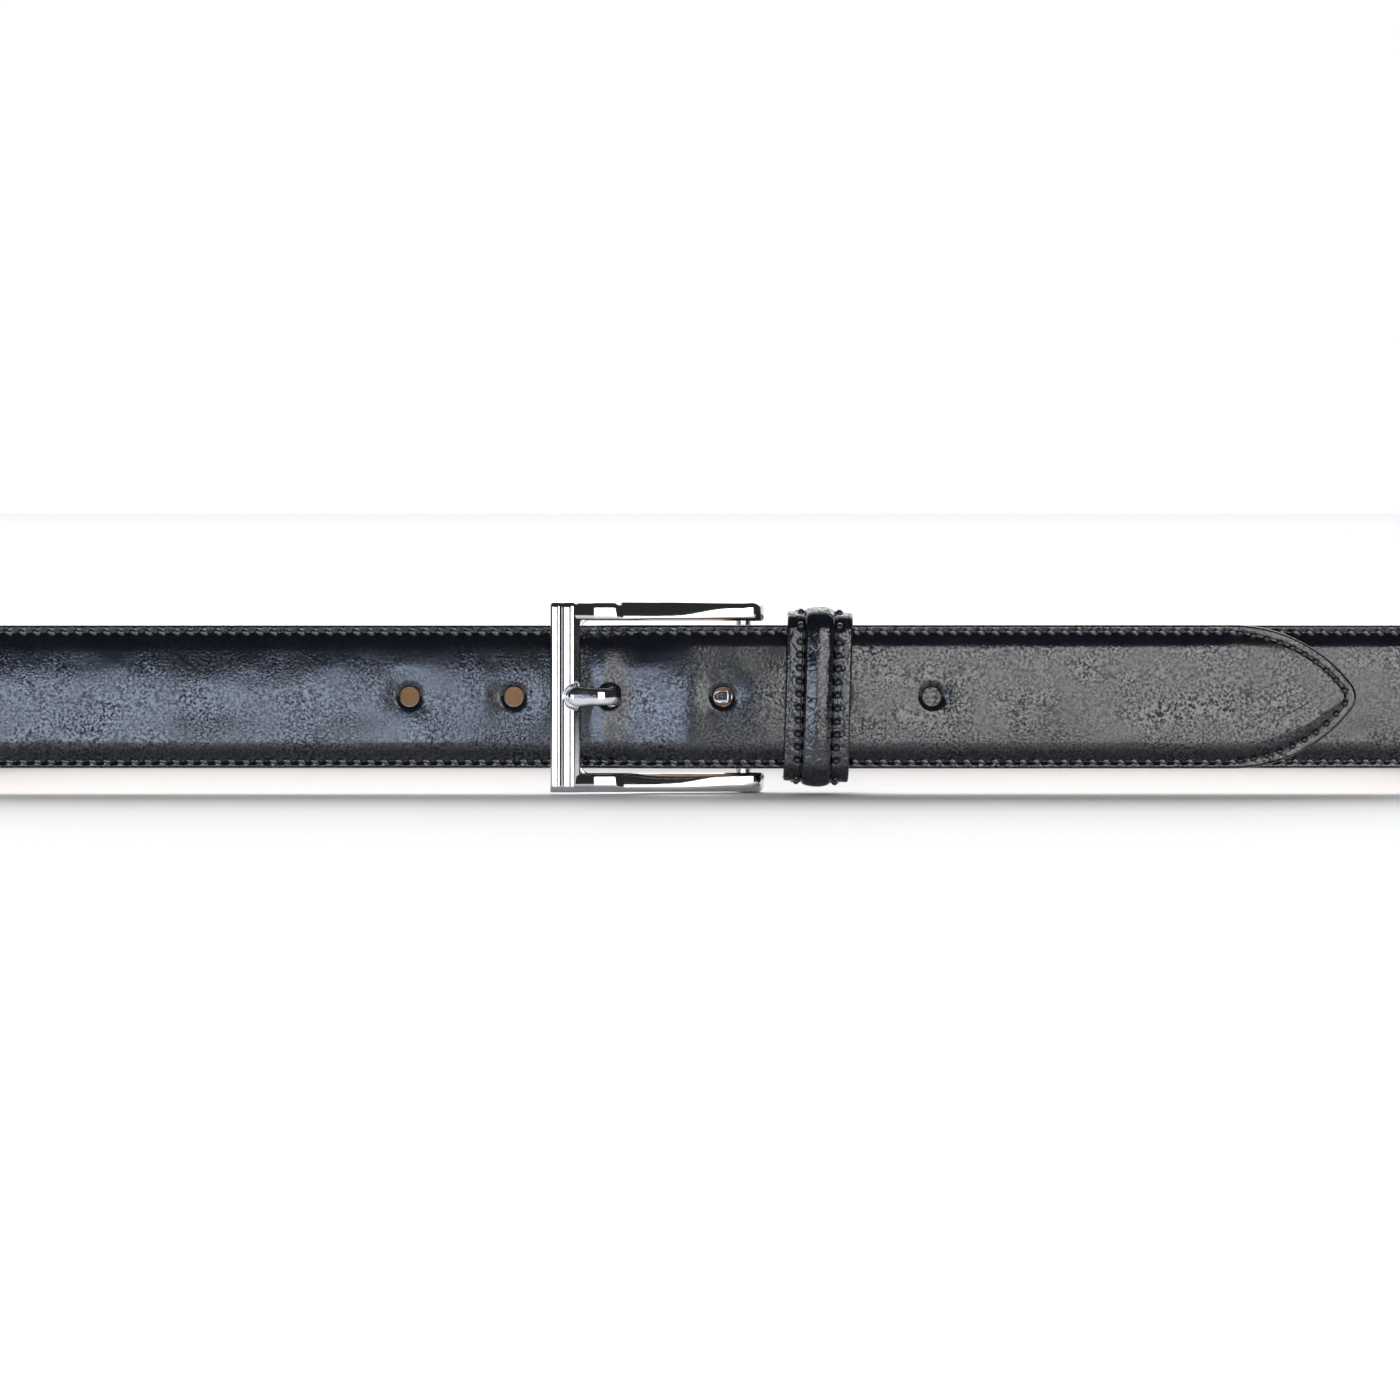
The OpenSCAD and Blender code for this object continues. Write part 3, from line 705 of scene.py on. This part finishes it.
# ---- stitches
def slug(build, centre, along_axis, across_axis, out_axis, length, radius, dip, rings, around, flat=1.0,
         square=1.0):
    """One short stitch whose ends dive into the leather: round, or pressed with square below 1."""
    u = np.linspace(-1, 1, rings)
    angle = np.linspace(0, 2 * pi, around, endpoint=False)
    fat = radius * np.sqrt(np.clip(1 - np.abs(u) ** 3.2, 0.02, 1))
    lift = -dip * np.abs(u) ** (2.4 / square)
    c, s = np.cos(angle), np.sin(angle)
    c, s = np.sign(c) * np.abs(c) ** square, np.sign(s) * np.abs(s) ** square
    build.tube(centre + along_axis * (u * length / 2)[:, None, None]
               + across_axis * (fat[:, None] * c)[..., None]
               + out_axis * (lift[:, None] + flat * fat[:, None] * s)[..., None], flip=True)


def stitch_line(name, runs, material, node_name):
    """Stitches at (s, z, w, tilt in degrees, length, radius, dip, side), then True for a knot."""
    build = Build()
    for s, z, w, tilt, length, radius, dip, side, *knot in runs:
        x, y = along([s])[1][0]
        out3, ahead3 = np.array([x, y, 0.0]), np.array([-y, x, 0.0])
        t = radians(tilt)
        a = ahead3 * cos(t) + np.array([0, 0, sin(t)])
        b = np.cross(out3, a)
        rings, around = (9, 12) if side > 0 else (5, 6)
        slug(build, wrap([s], [z], [w])[0], a, b, out3 * side, length, radius, dip, rings, around,
             1.0 if knot else 0.5, 1.0 if knot or side < 0 else 0.5)
    obj = build.piece(name, material, "strap")
    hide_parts(node_name)


LINING_ROW_W, LINING_THREAD_R = 0.07, 0.30    # height and radius of the thread on the lining's face


def edge_runs(side, rng):
    """Stitches along one edge of the strap, on both its faces."""
    runs = []
    s = ceil((S_PADDED + 1.5) / PITCH) * PITCH
    while s < S_TIP - 0.8:
        jitter = rng.uniform(-1, 1, 4)
        runs.append((s + PITCH / 2 + 0.12 * jitter[0], side * STITCH_Z + 0.04 * jitter[1], MARGIN_W - 0.06,
                     -30 + 4 * jitter[2], 2.7, 0.60 + 0.02 * jitter[3], 0.45, 1))
        runs.append((s + PITCH / 2 + 0.1 * jitter[1], side * STITCH_Z, LINING_ROW_W, 8 + 4 * jitter[2], 2.7,
                     LINING_THREAD_R, 0.35, -1))
        s += PITCH
    return runs


def tip_path(inset):
    """The tip's outline at an inset, from its lower side round the nose to its upper side."""
    upper = [(0.0, HALF - inset)]
    for kind, angle in tip_columns(60, 24):
        shift = ROW_SHIFT * smooth_step(90.0 - angle, -2, 13)
        upper.append(tip_point(kind, angle, inset + shift, 1.0))
    upper = np.array(upper)
    lower = upper[:-1] * [1, -1]
    return np.concatenate([lower, upper[::-1]])


def spaced(path, pitch):
    """Evenly spaced places along a path, with the heading at each."""
    step = np.hypot(*np.diff(path, axis=0).T)
    run = np.concatenate([[0], np.cumsum(step)])
    count = int(round(run[-1] / pitch))
    at = (np.arange(count) + 0.5) * run[-1] / count

    def place(at):
        return np.array([np.interp(at, run, path[:, 0]), np.interp(at, run, path[:, 1])])

    dx, dz = place(at + 0.2) - place(at - 0.2)
    return *place(at), np.degrees(np.arctan2(dz, dx))


rng = np.random.default_rng(11)
stitch_line("stitches_upper", edge_runs(1, rng), THREAD_MAT, "stitch_upper")
stitch_line("stitches_lower", edge_runs(-1, rng), THREAD_MAT, "stitch_lower")

tip_runs = []
for x, z, heading in zip(*spaced(tip_path(HALF - STITCH_Z), PITCH)):
    jitter = rng.uniform(-1, 1, 3)
    tip_runs.append((S_TIP + x, z, MARGIN_W - 0.05, heading + 24 + 6 * jitter[0], 1.95 + 0.1 * jitter[1],
                     0.84, 0.3, 1, True))
    tip_runs.append((S_TIP + x, z, LINING_ROW_W, heading + 8, 2.6, LINING_THREAD_R, 0.35, -1))
stitch_line("stitches_tip", tip_runs, KNOT_MAT, "stitch_tip")


def turnback_runs(x, rng):
    """A short row across the strap, through the front run and the flap behind it, clear of the edge rows."""
    runs = []
    s_front, s_flap = S_FRONT + x - BAR_X, FLAP_END - x
    for z in np.arange(-16.15, 16.3, 1.9):
        jitter = rng.uniform(-1, 1, 3)
        if abs(abs(z) - STITCH_Z) < 0.9 and x > 30:
            continue
        runs.append((s_front, z, MARGIN_W - 0.03, 96 + 3 * jitter[0], 1.6, 0.34, 0.42, 1))
        if s_flap < FLAP_STRAIGHT + FLAP_BEND * 0.6:
            runs.append((s_flap, z, MARGIN_W - 0.03, 90 + 4 * jitter[1], 1.6, 0.32, 0.4, 1))
    return runs


stitch_line("turnback_inner_stitches", turnback_runs(17.3, rng), THREAD_MAT, "turnback_stitch_inner")
stitch_line("turnback_outer_stitches", turnback_runs(38.0, rng), THREAD_MAT, "turnback_stitch_outer")

# ---- keeper
KEEPER_X, KEEPER_HALF_W, KEEPER_SKEW = 28.7, 7.95, radians(1.6)
K_HALF, K_FRONT, K_CORNER, K_BACK = 18.7, 9.0, 3.0, -0.25
K_LINING, K_LEATHER = 1.1, 1.4
K_ROUND, K_PRESSED = 0.55, 0.5    # round of the leather's edges, and how far sewing presses it down
ROLL_HALF, ROLL_RISE = 3.65, 1.3
K_ROW, K_PITCH = 4.7, 3.2         # place of the thread rows, and distance from stitch to stitch
BAND_HALF, BAND_THICK = 6.0, 1.1


def keeper_path():
    """The keeper's inner face as (z, w, normal z, normal w, length), up one side and down the other."""
    zc, wc = K_HALF - K_CORNER, K_FRONT - K_CORNER

    def corner(z, start, end):
        return np.hstack([arc_points(z, wc, K_CORNER, start, end, 14), arc_points(0, 0, 1, start, end, 14)])

    rows = np.concatenate([
        [(-K_HALF, w, -1, 0) for w in np.linspace(K_BACK, wc, 14)[:-1]], corner(-zc, 180, 90),
        [(z, K_FRONT, 0, 1) for z in np.linspace(-zc, zc, 120)[1:-1]], corner(zc, 90, 0),
        [(K_HALF, w, 1, 0) for w in np.linspace(wc, K_BACK, 14)[1:]]])
    run = np.concatenate([[0], np.cumsum(np.hypot(*np.diff(rows[:, :2], axis=0).T))])
    return np.column_stack([rows, run])


def keeper_place(z, w, v):
    """Belt-frame points of the keeper from its own height, distance outward and place along the belt."""
    z, w, v = np.broadcast_arrays(z, w, v)
    w = w - 0.5 * np.clip(z / 15.7, -1, 1) ** 2 * np.clip(w / 9.0, 0, 1)
    x = v * cos(KEEPER_SKEW) + z * sin(KEEPER_SKEW) + KEEPER_X
    return np.stack([x, -w, -v * sin(KEEPER_SKEW) + z * cos(KEEPER_SKEW)], -1)


def keeper_height(v, run):
    """Outer face of the keeper's leather over its inner face: a roll, its seams, and thread pits."""
    roll = np.sqrt(np.clip(1 - (v / (ROLL_HALF + 0.12)) ** 2, 0, 1))
    h = K_LINING + K_LEATHER + ROLL_RISE * roll
    h = h - 0.30 * np.exp(-((np.abs(v) - ROLL_HALF - 0.15) / 0.32) ** 2)
    pit = np.cos(2 * pi * (run - K_PITCH / 2) / K_PITCH) - 0.1
    h = h - 0.42 * np.exp(-((np.abs(v) - K_ROW) / 0.7) ** 2) * np.clip(pit, 0, 1)
    crinkle = 0.060 * lattice(v / 1.8 + run / 9.0, run / 3.1, 21)
    crinkle = crinkle + 0.018 * lattice(v / 0.9, run / 1.4 + v / 3.0, 22)
    h = h + crinkle * (0.35 + 0.65 * roll) + edge_round(KEEPER_HALF_W - np.abs(v), K_ROUND)
    return h - K_PRESSED * (1 + np.clip(1 - run / 2.5, 0, 1))


def ribbon_shell(build, path, v_top, top, v_low, low):
    """A closed shell over a path, from an outer to an inner height across v."""
    z, w, nz, nw = (path[:, k][:, None] for k in range(4))
    v = np.concatenate([v_top, v_low[::-1]])[None, :]
    h = np.concatenate([top, low[:, ::-1]], 1)
    build.tube(keeper_place(z + nz * h, w + nw * h, v + 0 * h))


def back_band(build, half_z, count=40):
    """The band behind the strap: a flat strip with rounded edges."""
    a = np.linspace(0, 2 * pi, count, endpoint=False)
    c, s = np.cos(a), np.sin(a)
    v = np.sign(c) * np.abs(c) ** 0.35 * BAND_HALF
    w = K_BACK - BAND_THICK / 2 + np.sign(s) * np.abs(s) ** 0.7 * (BAND_THICK / 2)
    build.tube(np.stack([keeper_place(np.full(count, z), w, v) for z in np.linspace(-half_z, half_z, 24)]))


def mirrored(half):
    """Places on both sides of 0, from those on one side."""
    half = np.array(half)
    return np.concatenate([-half, [0.0], half[::-1]])


# Places across the keeper where its mesh has a column, closer at the edges and the roll's seams.
V_FINE = mirrored([7.95, 7.93, 7.86, 7.72, 7.5, 7.2, 6.8, 6.2, 5.7, 5.4, 5.2, 5.0, 4.85, 4.7, 4.55, 4.4, 4.2,
                   4.0, 3.85, 3.74, 3.66, 3.55, 3.35, 3.1, 2.8, 2.4, 2.0, 1.5, 1.0, 0.5])
V_LOW = mirrored([7.95, 4])
K_PATH = keeper_path()
build = Build()
top = np.stack([keeper_height(V_FINE, np.full(len(V_FINE), run)) for run in K_PATH[:, 4]])
ribbon_shell(build, K_PATH, V_FINE, top, V_LOW, np.full((len(K_PATH), len(V_LOW)), K_LINING + 0.02))
back_band(build, K_HALF + K_LINING + K_LEATHER - 0.1)
keeper = build.piece("keeper_leather_loop", KEEPER_MAT, "keeper")
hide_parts("keeper_leather", "keeper_filler")

V_IN = mirrored([7.75, 7.72, 7.6, 7.4, 4])
out_h = np.array([0.85, 0.98, 1.03, 1.04, 1.04, 1.04, 1.04, 1.04, 1.03, 0.98, 0.85])
in_h = np.array([0.25, 0.1, 0.02, 0, 0, 0, 0, 0, 0.02, 0.1, 0.25])
build = Build()
ribbon_shell(build, K_PATH, V_IN, np.tile(out_h, (len(K_PATH), 1)), V_IN, np.tile(in_h, (len(K_PATH), 1)))
inner = build.piece("keeper_inner_loop", INNER_MAT, "keeper")
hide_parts("keeper_lining")


def keeper_stitches(name, side, node_name):
    """One row of knots on the keeper, each in a pit of the leather."""
    path, length = K_PATH, K_PATH[-1, 4]
    build = Build()
    rng = np.random.default_rng(31 + side)
    count = int((length - 3) // K_PITCH)
    for k in range(count):
        run = (length - (count - 1) * K_PITCH) / 2 + k * K_PITCH
        run = round((run - K_PITCH / 2) / K_PITCH) * K_PITCH + K_PITCH / 2
        z, w, nz, nw = (np.interp(run, path[:, 4], path[:, c]) for c in range(4))
        n = np.hypot(nz, nw)
        nz, nw = nz / n, nw / n
        h = K_LINING + K_LEATHER - 0.03 - 0.4 * nz ** 2
        here = keeper_place(z + nz * h, w + nw * h, side * K_ROW)
        base = keeper_place(0.0, 0.0, 0.0)
        out3 = keeper_place(nz, nw, 0.0) - base
        cross3 = keeper_place(0.0, 0.0, 1.0) - base
        ahead3 = np.cross(out3, cross3)
        t = radians(20 + 5 * rng.uniform(-1, 1)) * side
        slug(build, here, ahead3 * cos(t) + cross3 * sin(t),
             cross3 * cos(t) - ahead3 * sin(t), out3, 2.0, 0.78, 0.4, 9, 12)
    obj = build.piece(name, KNOT_MAT, "keeper")
    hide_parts(node_name)


keeper_stitches("keeper_stitches_left", -1, "keeper_stitch_left")
keeper_stitches("keeper_stitches_right", 1, "keeper_stitch_right")

# ---- buckle
BAR_LEFT, BAR_RIGHT, BAR_TOP, BAR_UNDER = -36.5, -29.0, 8.5, 4.5
OPEN_HALF, BUCKLE_HALF, RAIL_DEPTH, EDGE_ROUND = 18.65, 23.3, 4.0, 1.5
EAR_X, EAR_W, EAR_R = 12.2, -2.1, 3.6
REST_HALF, REST_X = 3.05, -29.85    # the scoop in the front bar where the prong rests


def dense(points, step):
    """Adds points along the long stretches of an open outline."""
    out = [points[0]]
    for a, b in zip(points[:-1], points[1:]):
        n = max(1, int(ceil(np.hypot(*(b - a)) / step)))
        out += [a + (b - a) * k / n for k in range(1, n + 1)]
    return np.array(out)


def bar_outline():
    """Top of the front bar as (x, w) from its left foot to its right foot."""
    top = np.concatenate([
        [[0.25, BAR_UNDER], [0.0, BAR_UNDER + 0.25]],
        arc_points(0.95, BAR_TOP - 1.05, 0.95, 180, 97, 12),
        arc_points(1.75, BAR_TOP - 9.0, 9.0, 95, 86.5, 6),
        [[2.36, BAR_TOP - 0.045], [2.40, BAR_TOP - 0.065], [2.88, BAR_TOP - 0.335], [2.93, BAR_TOP - 0.36],
         [2.98, BAR_TOP - 0.335], [3.46, BAR_TOP - 0.065], [3.50, BAR_TOP - 0.045]],
        arc_points(4.72, BAR_TOP - 9.0, 9.0, 97, 83.5, 8),
        [[5.86, BAR_TOP - 0.12], [6.02, BAR_TOP - 0.24]],
        [[7.2, BAR_TOP - 1.32], [7.42, BAR_TOP - 1.58], [7.5, BAR_TOP - 1.85]],
        [[7.5, BAR_UNDER + 0.3], [7.25, BAR_UNDER]]])
    top[:, 0] += BAR_LEFT
    return dense(top, 0.45)


def front_bar(build):
    """The bar that the tail passes under, with rounded ends and the prong's rest scooped out of it."""
    outline = bar_outline()
    z_half = np.concatenate([np.linspace(0, 2.2, 9), np.linspace(2.3, 3.3, 14), np.linspace(3.6, 21.5, 40),
                             BUCKLE_HALF - 1.6 * (1 - np.sin(np.linspace(0, pi / 2, 14)))])
    z = np.concatenate([-z_half[:0:-1], z_half])
    g = np.zeros((len(z), len(outline), 3))
    for k, zz in enumerate(z):
        x, w = outline[:, 0].copy(), outline[:, 1].copy()
        upper = w > BAR_UNDER + 0.4
        fall = edge_round(BUCKLE_HALF - abs(zz), EDGE_ROUND)
        w[upper] += fall * np.clip((w[upper] - BAR_UNDER) / 2.0, 0, 1)
        reach = np.hypot(np.minimum(x - REST_X, 0), zz)
        scoop = 1 - smooth_step(reach, REST_HALF - 0.25, REST_HALF + 0.35)
        level = BAR_TOP - 1.35 + 0.45 * np.clip(reach / REST_HALF, 0, 1) ** 2
        w = np.where(upper & (w > level), w + (level - w) * scoop, w)
        g[k] = np.stack([x, -w, np.full(len(x), zz)], -1)
    build.tube(g, flip=True)


def rail_stations():
    """The rail's top face as (x, w, heading) from the bar to the ear: block, step, fall and long slope."""
    marks = np.array([(-33.0, 8.2), (-30.9, 8.2), (-26.2, 6.2), (-25.6, 6.0), (-20.4, 5.75), (-9.5, 3.05),
                      (14.0, 1.42)])
    x = np.arange(-38.0, 16.0, 0.05)
    w = np.interp(x, marks[:, 0], marks[:, 1])
    kernel = np.hanning(27)
    w = np.convolve(np.pad(w, 13, mode="edge"), kernel / kernel.sum(), "valid")
    turn = -np.arctan(np.gradient(w, x))
    at = np.concatenate([np.arange(-30.9, -8, 0.22), np.arange(-8, 12.0, 0.6)])
    rows = [(a, float(np.interp(a, x, w)), float(np.interp(a, x, turn))) for a in at]
    return rows + [(EAR_X + EAR_R * sin(a), EAR_W + EAR_R * cos(a), a)
                   for a in np.radians(np.arange(6, 125, 7))]


def rail_outline(outer_r, inner_r):
    """Section of a rail as (depth under its top face, z), with a crowned top."""
    deep, zi, zo = RAIL_DEPTH, OPEN_HALF, BUCKLE_HALF
    loop = [(deep, zi + 0.3), (deep - 0.09, zi + 0.09), (deep - 0.3, zi)]
    loop += [(d, zi) for d in np.linspace(deep - 0.6, inner_r + 0.2, 5)]
    crown = [*arc_points(inner_r, inner_r, inner_r, 270, 180, 10)]
    crown += [(0.0, z) for z in np.linspace(inner_r, zo - zi - outer_r, 8)[1:-1]]
    crown += [*arc_points(outer_r, zo - zi - outer_r, outer_r, 180, 90, 14)]
    middle = (inner_r + zo - zi - outer_r) / 2
    loop += [(d + 0.045 * (z - middle) ** 2 * (1 - min(d / 1.2, 1)), zi + z) for d, z in crown]
    loop += [(d, zo) for d in np.linspace(outer_r + 0.3, deep - 1.2, 4)]
    loop += [(deep - 0.8, zo - 0.08), (deep - 0.45, zo - 0.45), (deep - 0.08, zo - 0.8)]
    loop += [(deep, z) for z in np.linspace(zo - 1.3, zi + 0.8, 4)]
    return np.array(loop)


def rail(build, side):
    """The upper rail, or the lower one with side -1. Both lean to face upward."""
    rows = rail_stations()
    outline = rail_outline(EDGE_ROUND, 0.9)
    g = np.zeros((len(rows), len(outline), 3))
    for k, (x, w, t) in enumerate(rows):
        lean = 2.5 + 11.5 * smooth_step(x, -21.0, -18.5) - 11 * smooth_step(x, -8.0, 9.0)
        top = np.clip(1 - (outline[:, 0] - 0.4) / 2.0, 0, 1)
        from_low = outline[:, 1] - OPEN_HALF if side > 0 else BUCKLE_HALF - outline[:, 1]
        lift = (tan(radians(lean)) * from_low - 0.25) * smooth_step(x, 12.5, 10.5)
        u = (outline[:, 0] + top * lift) * (1.0 if x < EAR_X else 0.86)
        g[k] = np.stack([x - u * sin(t), -(w - u * cos(t)), side * outline[:, 1]], -1)
    build.tube(g, flip=side < 0)


def lathe(build, cx, cw, profile, side=1, count=64):
    """Turns a closed (radius, z) outline about an axis along z."""
    a = np.linspace(0, 2 * pi, count, endpoint=False)
    profile = np.array(profile, float)
    g = np.stack([np.stack([cx + profile[:, 0] * cos(t), -(cw + profile[:, 0] * sin(t)),
                            side * profile[:, 1]], -1) for t in a])
    build.grid(g, loop_u=True, loop_v=True, flip=side > 0)


def ear(build, side):
    """The round end of a rail that holds the hinge bar."""
    zi, zo, r = OPEN_HALF, BUCKLE_HALF, EAR_R
    outline = [(0.01, zi), (r - 0.75, zi), (r - 0.5, zi + 0.1), (r - 0.3, zi + 0.45), (r - 0.15, zi + 1.0),
               (r - 0.12, zo - 1.9),
               *arc_points(r - 0.12 - EDGE_ROUND, zo - EDGE_ROUND, EDGE_ROUND, 8, 90, 9),
               (1.2, zo), (0.01, zo)]
    lathe(build, EAR_X, EAR_W, outline, side)


def corner_fillet(build, side):
    """The small round inside the corner where a rail meets the front bar."""
    r, foot = 2.2, 0.3
    rings = []
    for w, inset in ((4.7, 0.0), (5.5, 0.0), (5.64, 0.05), (5.7, 0.15)):
        outline = np.array([(BAR_RIGHT - foot, OPEN_HALF + foot), (BAR_RIGHT - foot, OPEN_HALF - r),
                            *arc_points(BAR_RIGHT + r, OPEN_HALF - r, r + inset, 180, 90, 12),
                            (BAR_RIGHT + r, OPEN_HALF + foot)])
        rings.append(np.stack([outline[:, 0], np.full(len(outline), -w), side * outline[:, 1]], 1))
    build.tube(np.array(rings), flip=side > 0)


build = Build()
front_bar(build)
for side in (1, -1):
    rail(build, side)
    ear(build, side)
    corner_fillet(build, side)
buckle = build.piece("buckle_frame_polished", NICKEL_MAT, "buckle")
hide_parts("buckle_frame")
bar_node = frame["nodes"]["hinge_bar"]
bar_node.data.materials.clear()
bar_node.data.materials.append(BAR_MAT)

# ---- prong
PRONG_THICK, PRONG_HALF, PRONG_TIP_HALF, PRONG_TIP = 2.2, 2.1, 2.4, -32.4
SHANK_X, SHANK_BACK, PRONG_REST, PRONG_FLAT_X = 8.3, -2.99, 7.35, -24.8
PRONG_SLOPE, BEND_IN, BEND_OUT, PRONG_ROUND = radians(53.1301), 6, 4, 2.55


def prong_path():
    """The prong's flat back as (x, w, heading above the belt), from the eye to the tip."""
    slope, bends = PRONG_SLOPE, BEND_IN + BEND_OUT
    rise = PRONG_REST - SHANK_BACK - bends * (1 - cos(slope))
    slant = rise / sin(slope)
    reach = bends * sin(slope) + slant * cos(slope)
    shank = SHANK_X - PRONG_FLAT_X - reach
    rows = [(SHANK_X - d, SHANK_BACK, 0.0) for d in np.linspace(0, shank, 14)]
    x0 = SHANK_X - shank
    for t in np.linspace(0, slope, 10)[1:]:
        rows.append((x0 - BEND_IN * sin(t), SHANK_BACK + BEND_IN * (1 - cos(t)), t))
    x1, w1, _ = rows[-1]
    for d in np.linspace(0, slant, 16)[1:]:
        rows.append((x1 - d * cos(slope), w1 + d * sin(slope), slope))
    x2, w2, _ = rows[-1]
    for t in np.linspace(slope, 0, 9)[1:]:
        rows.append((x2 - BEND_OUT * (sin(slope) - sin(t)),
                     w2 + BEND_OUT * (cos(t) - cos(slope)), t))
    x3, w3, _ = rows[-1]
    end = x3 - PRONG_TIP
    tail = np.concatenate([np.linspace(0, end - PRONG_ROUND - 0.05, 12)[1:],
                           end - PRONG_ROUND + PRONG_ROUND * np.sin(np.linspace(0, pi / 2, 16))])
    return rows + [(x3 - d, w3, 0.0) for d in tail]


def prong_section(half, crown, thick):
    """A D-shaped section: flat behind, with a crowned front."""
    flat = min(0.35, half * 0.4)
    pts = [(-half + flat, 0.0), (half - flat, 0.0), (half - flat * 0.3, flat * 0.3), (half, flat)]
    high = thick * sqrt(min(1.0, half / PRONG_HALF))
    for t in np.radians(np.linspace(6, 174, 25)):
        c, s = cos(t), sin(t)
        pts.append((half * copysign(abs(c) ** 0.95, c), flat + (high - flat) * abs(s) ** crown))
    pts += [(-half, flat), (-half + flat * 0.3, flat * 0.3)]
    return np.array(pts)


def prong_rod(build):
    """The rod from the eye to the rounded tip. It is wider and flatter along the shank than in front."""
    rings = []
    for x, w, t in prong_path():
        to_tip = x - PRONG_TIP
        if to_tip < PRONG_ROUND:
            half = PRONG_TIP_HALF * sqrt(max(1 - ((PRONG_ROUND - to_tip) / PRONG_ROUND) ** 2, 0.0025))
        else:
            half = PRONG_HALF + (PRONG_TIP_HALF - PRONG_HALF) * smooth_step(to_tip, 6.0, 2.9)
        shank = smooth_step(x, -6.0, -2.0)
        p = prong_section(half + 0.35 * shank, 0.28 - 0.18 * shank, PRONG_THICK + 0.016 * max(x + 4.0, 0.0))
        rings.append(np.stack([x + p[:, 1] * sin(t), -(w + p[:, 1] * cos(t)), p[:, 0]], -1))
    build.tube(np.stack(rings))


EYE = [(1.87, -2.2), (1.97, -2.4), (2.15, -2.5), (3.0, -2.5), (3.2, -2.42), (3.3, -2.2)]
build = Build()
prong_rod(build)
lathe(build, BAR_X, -BAR_Y, EYE + [(r, -z) for r, z in EYE[::-1]])
prong = build.piece("prong_polished", NICKEL_MAT, "prong")
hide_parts("prong")


# ---- floor, lights and camera
def floor_material():
    """Plain pale board."""
    mat, tree, bsdf, place = new_material("floor")
    speck = noise(tree, place, 8.0, 3.0)
    feed_all(tree, bsdf, Base_Color=(0.86, 0.865, 0.87, 1),
             Roughness=remap(tree, speck, 0.3, 0.7, 0.55, 0.62))
    return mat


def area_light(name, place, aim, size, power, color=(1, 1, 1)):
    """A rectangular softbox at a place, facing another place."""
    data = bpy.data.lights.new(name, "AREA")
    data.shape = "RECTANGLE"
    data.size, data.size_y = size
    data.energy, data.color = power, color
    obj = add_object(name, data)
    obj.location = place
    obj.rotation_euler = (Vector(aim) - Vector(place)).to_track_quat("-Z", "Y").to_euler()


def front_panel(name, left, right, low, high, radiance, color):
    """A softbox behind the camera, placed in the belt's own frame, in millimetres."""
    place = Vector(to_row([(left + right) / 2, -1150, (low + high) / 2]))
    size = ((right - left) * MM, (high - low) * MM)
    power = radiance * pi * size[0] * size[1]
    area_light(name, place, place + Vector(AHEAD), size, power, color)


AHEAD, UPWARD = TURN @ np.array([0, 1, 0]), TURN @ np.array([0, 0, 1])
FLOOR_HALF = 6.0
corners = FLOOR_HALF * np.array([(-1, -1, 0), (1, -1, 0), (1, 1, 0), (-1, 1, 0)])
floor_mesh = bpy.data.meshes.new("floor")
floor_mesh.from_pydata(corners.tolist(), [], [(0, 1, 2, 3)])
floor = add_object("floor", floor_mesh)
floor_mesh.materials.append(floor_material())

# The gap between the left and right panels leaves the dark patch beside the buckle.
front_panel("far_left_softbox", -1120, -770, -88, 200, 3.1, (1.0, 1.0, 0.985))
front_panel("left_softbox", -770, -80, -88, 90, 4.9, (0.66, 0.77, 1.0))
front_panel("right_softbox", 30, 620, -88, 400, 3.1, (1.0, 1.0, 0.985))
area_light("top_softbox", (0.0, 0.95, 1.5), (0, 0.2, 0), (2.6, 1.0), 14)
area_light("back_softbox", (0.0, 3.7, 2.6), (0, 3.7, 0), (9.0, 6.8), 150)


def studio_world():
    """White to the camera, dim to diffuse light, and to reflections dark in front and white behind."""
    world = bpy.data.worlds.new("studio")
    world.use_nodes = True
    tree = world.node_tree
    tree.nodes.clear()
    ray = node(tree, "TexCoord").outputs["Generated"]
    split = node(tree, "SeparateXYZ", Vector=ray)
    shade = remap(tree, split.outputs["Y"], 0.0, 0.35, 0.03, 1.03)
    seen_by = node(tree, "LightPath").outputs
    ambient = maths(tree, "SUBTRACT", 0.36, seen_by["Is Glossy Ray"])
    backdrop = maths(tree, "MULTIPLY", seen_by["Is Camera Ray"], 1.03)
    strength = maths(tree, "MAXIMUM", maths(tree, "MAXIMUM", shade, ambient), backdrop)
    sky = node(tree, "Background", Color=(0.99, 0.995, 1.0, 1), Strength=strength)
    tree.links.new(sky.outputs[0], node(tree, "OutputWorld").inputs[0])
    return world


bpy.context.scene.world = studio_world()

camera_data = bpy.data.cameras.new("camera")
camera_data.lens, camera_data.sensor_width = 100.0, 36.0
camera_data.clip_start, camera_data.clip_end = 0.02, 20.0
camera = add_object("camera", camera_data)
bpy.context.scene.camera = camera
turned = Matrix(np.stack([np.cross(AHEAD, UPWARD), UPWARD, -AHEAD], 1).tolist()).to_4x4()
camera.matrix_world = Matrix.Translation(Vector(to_row([0, -954, -0.8]))) @ turned

bpy.context.scene.view_settings.view_transform = "Standard"
bpy.context.view_layer.update()
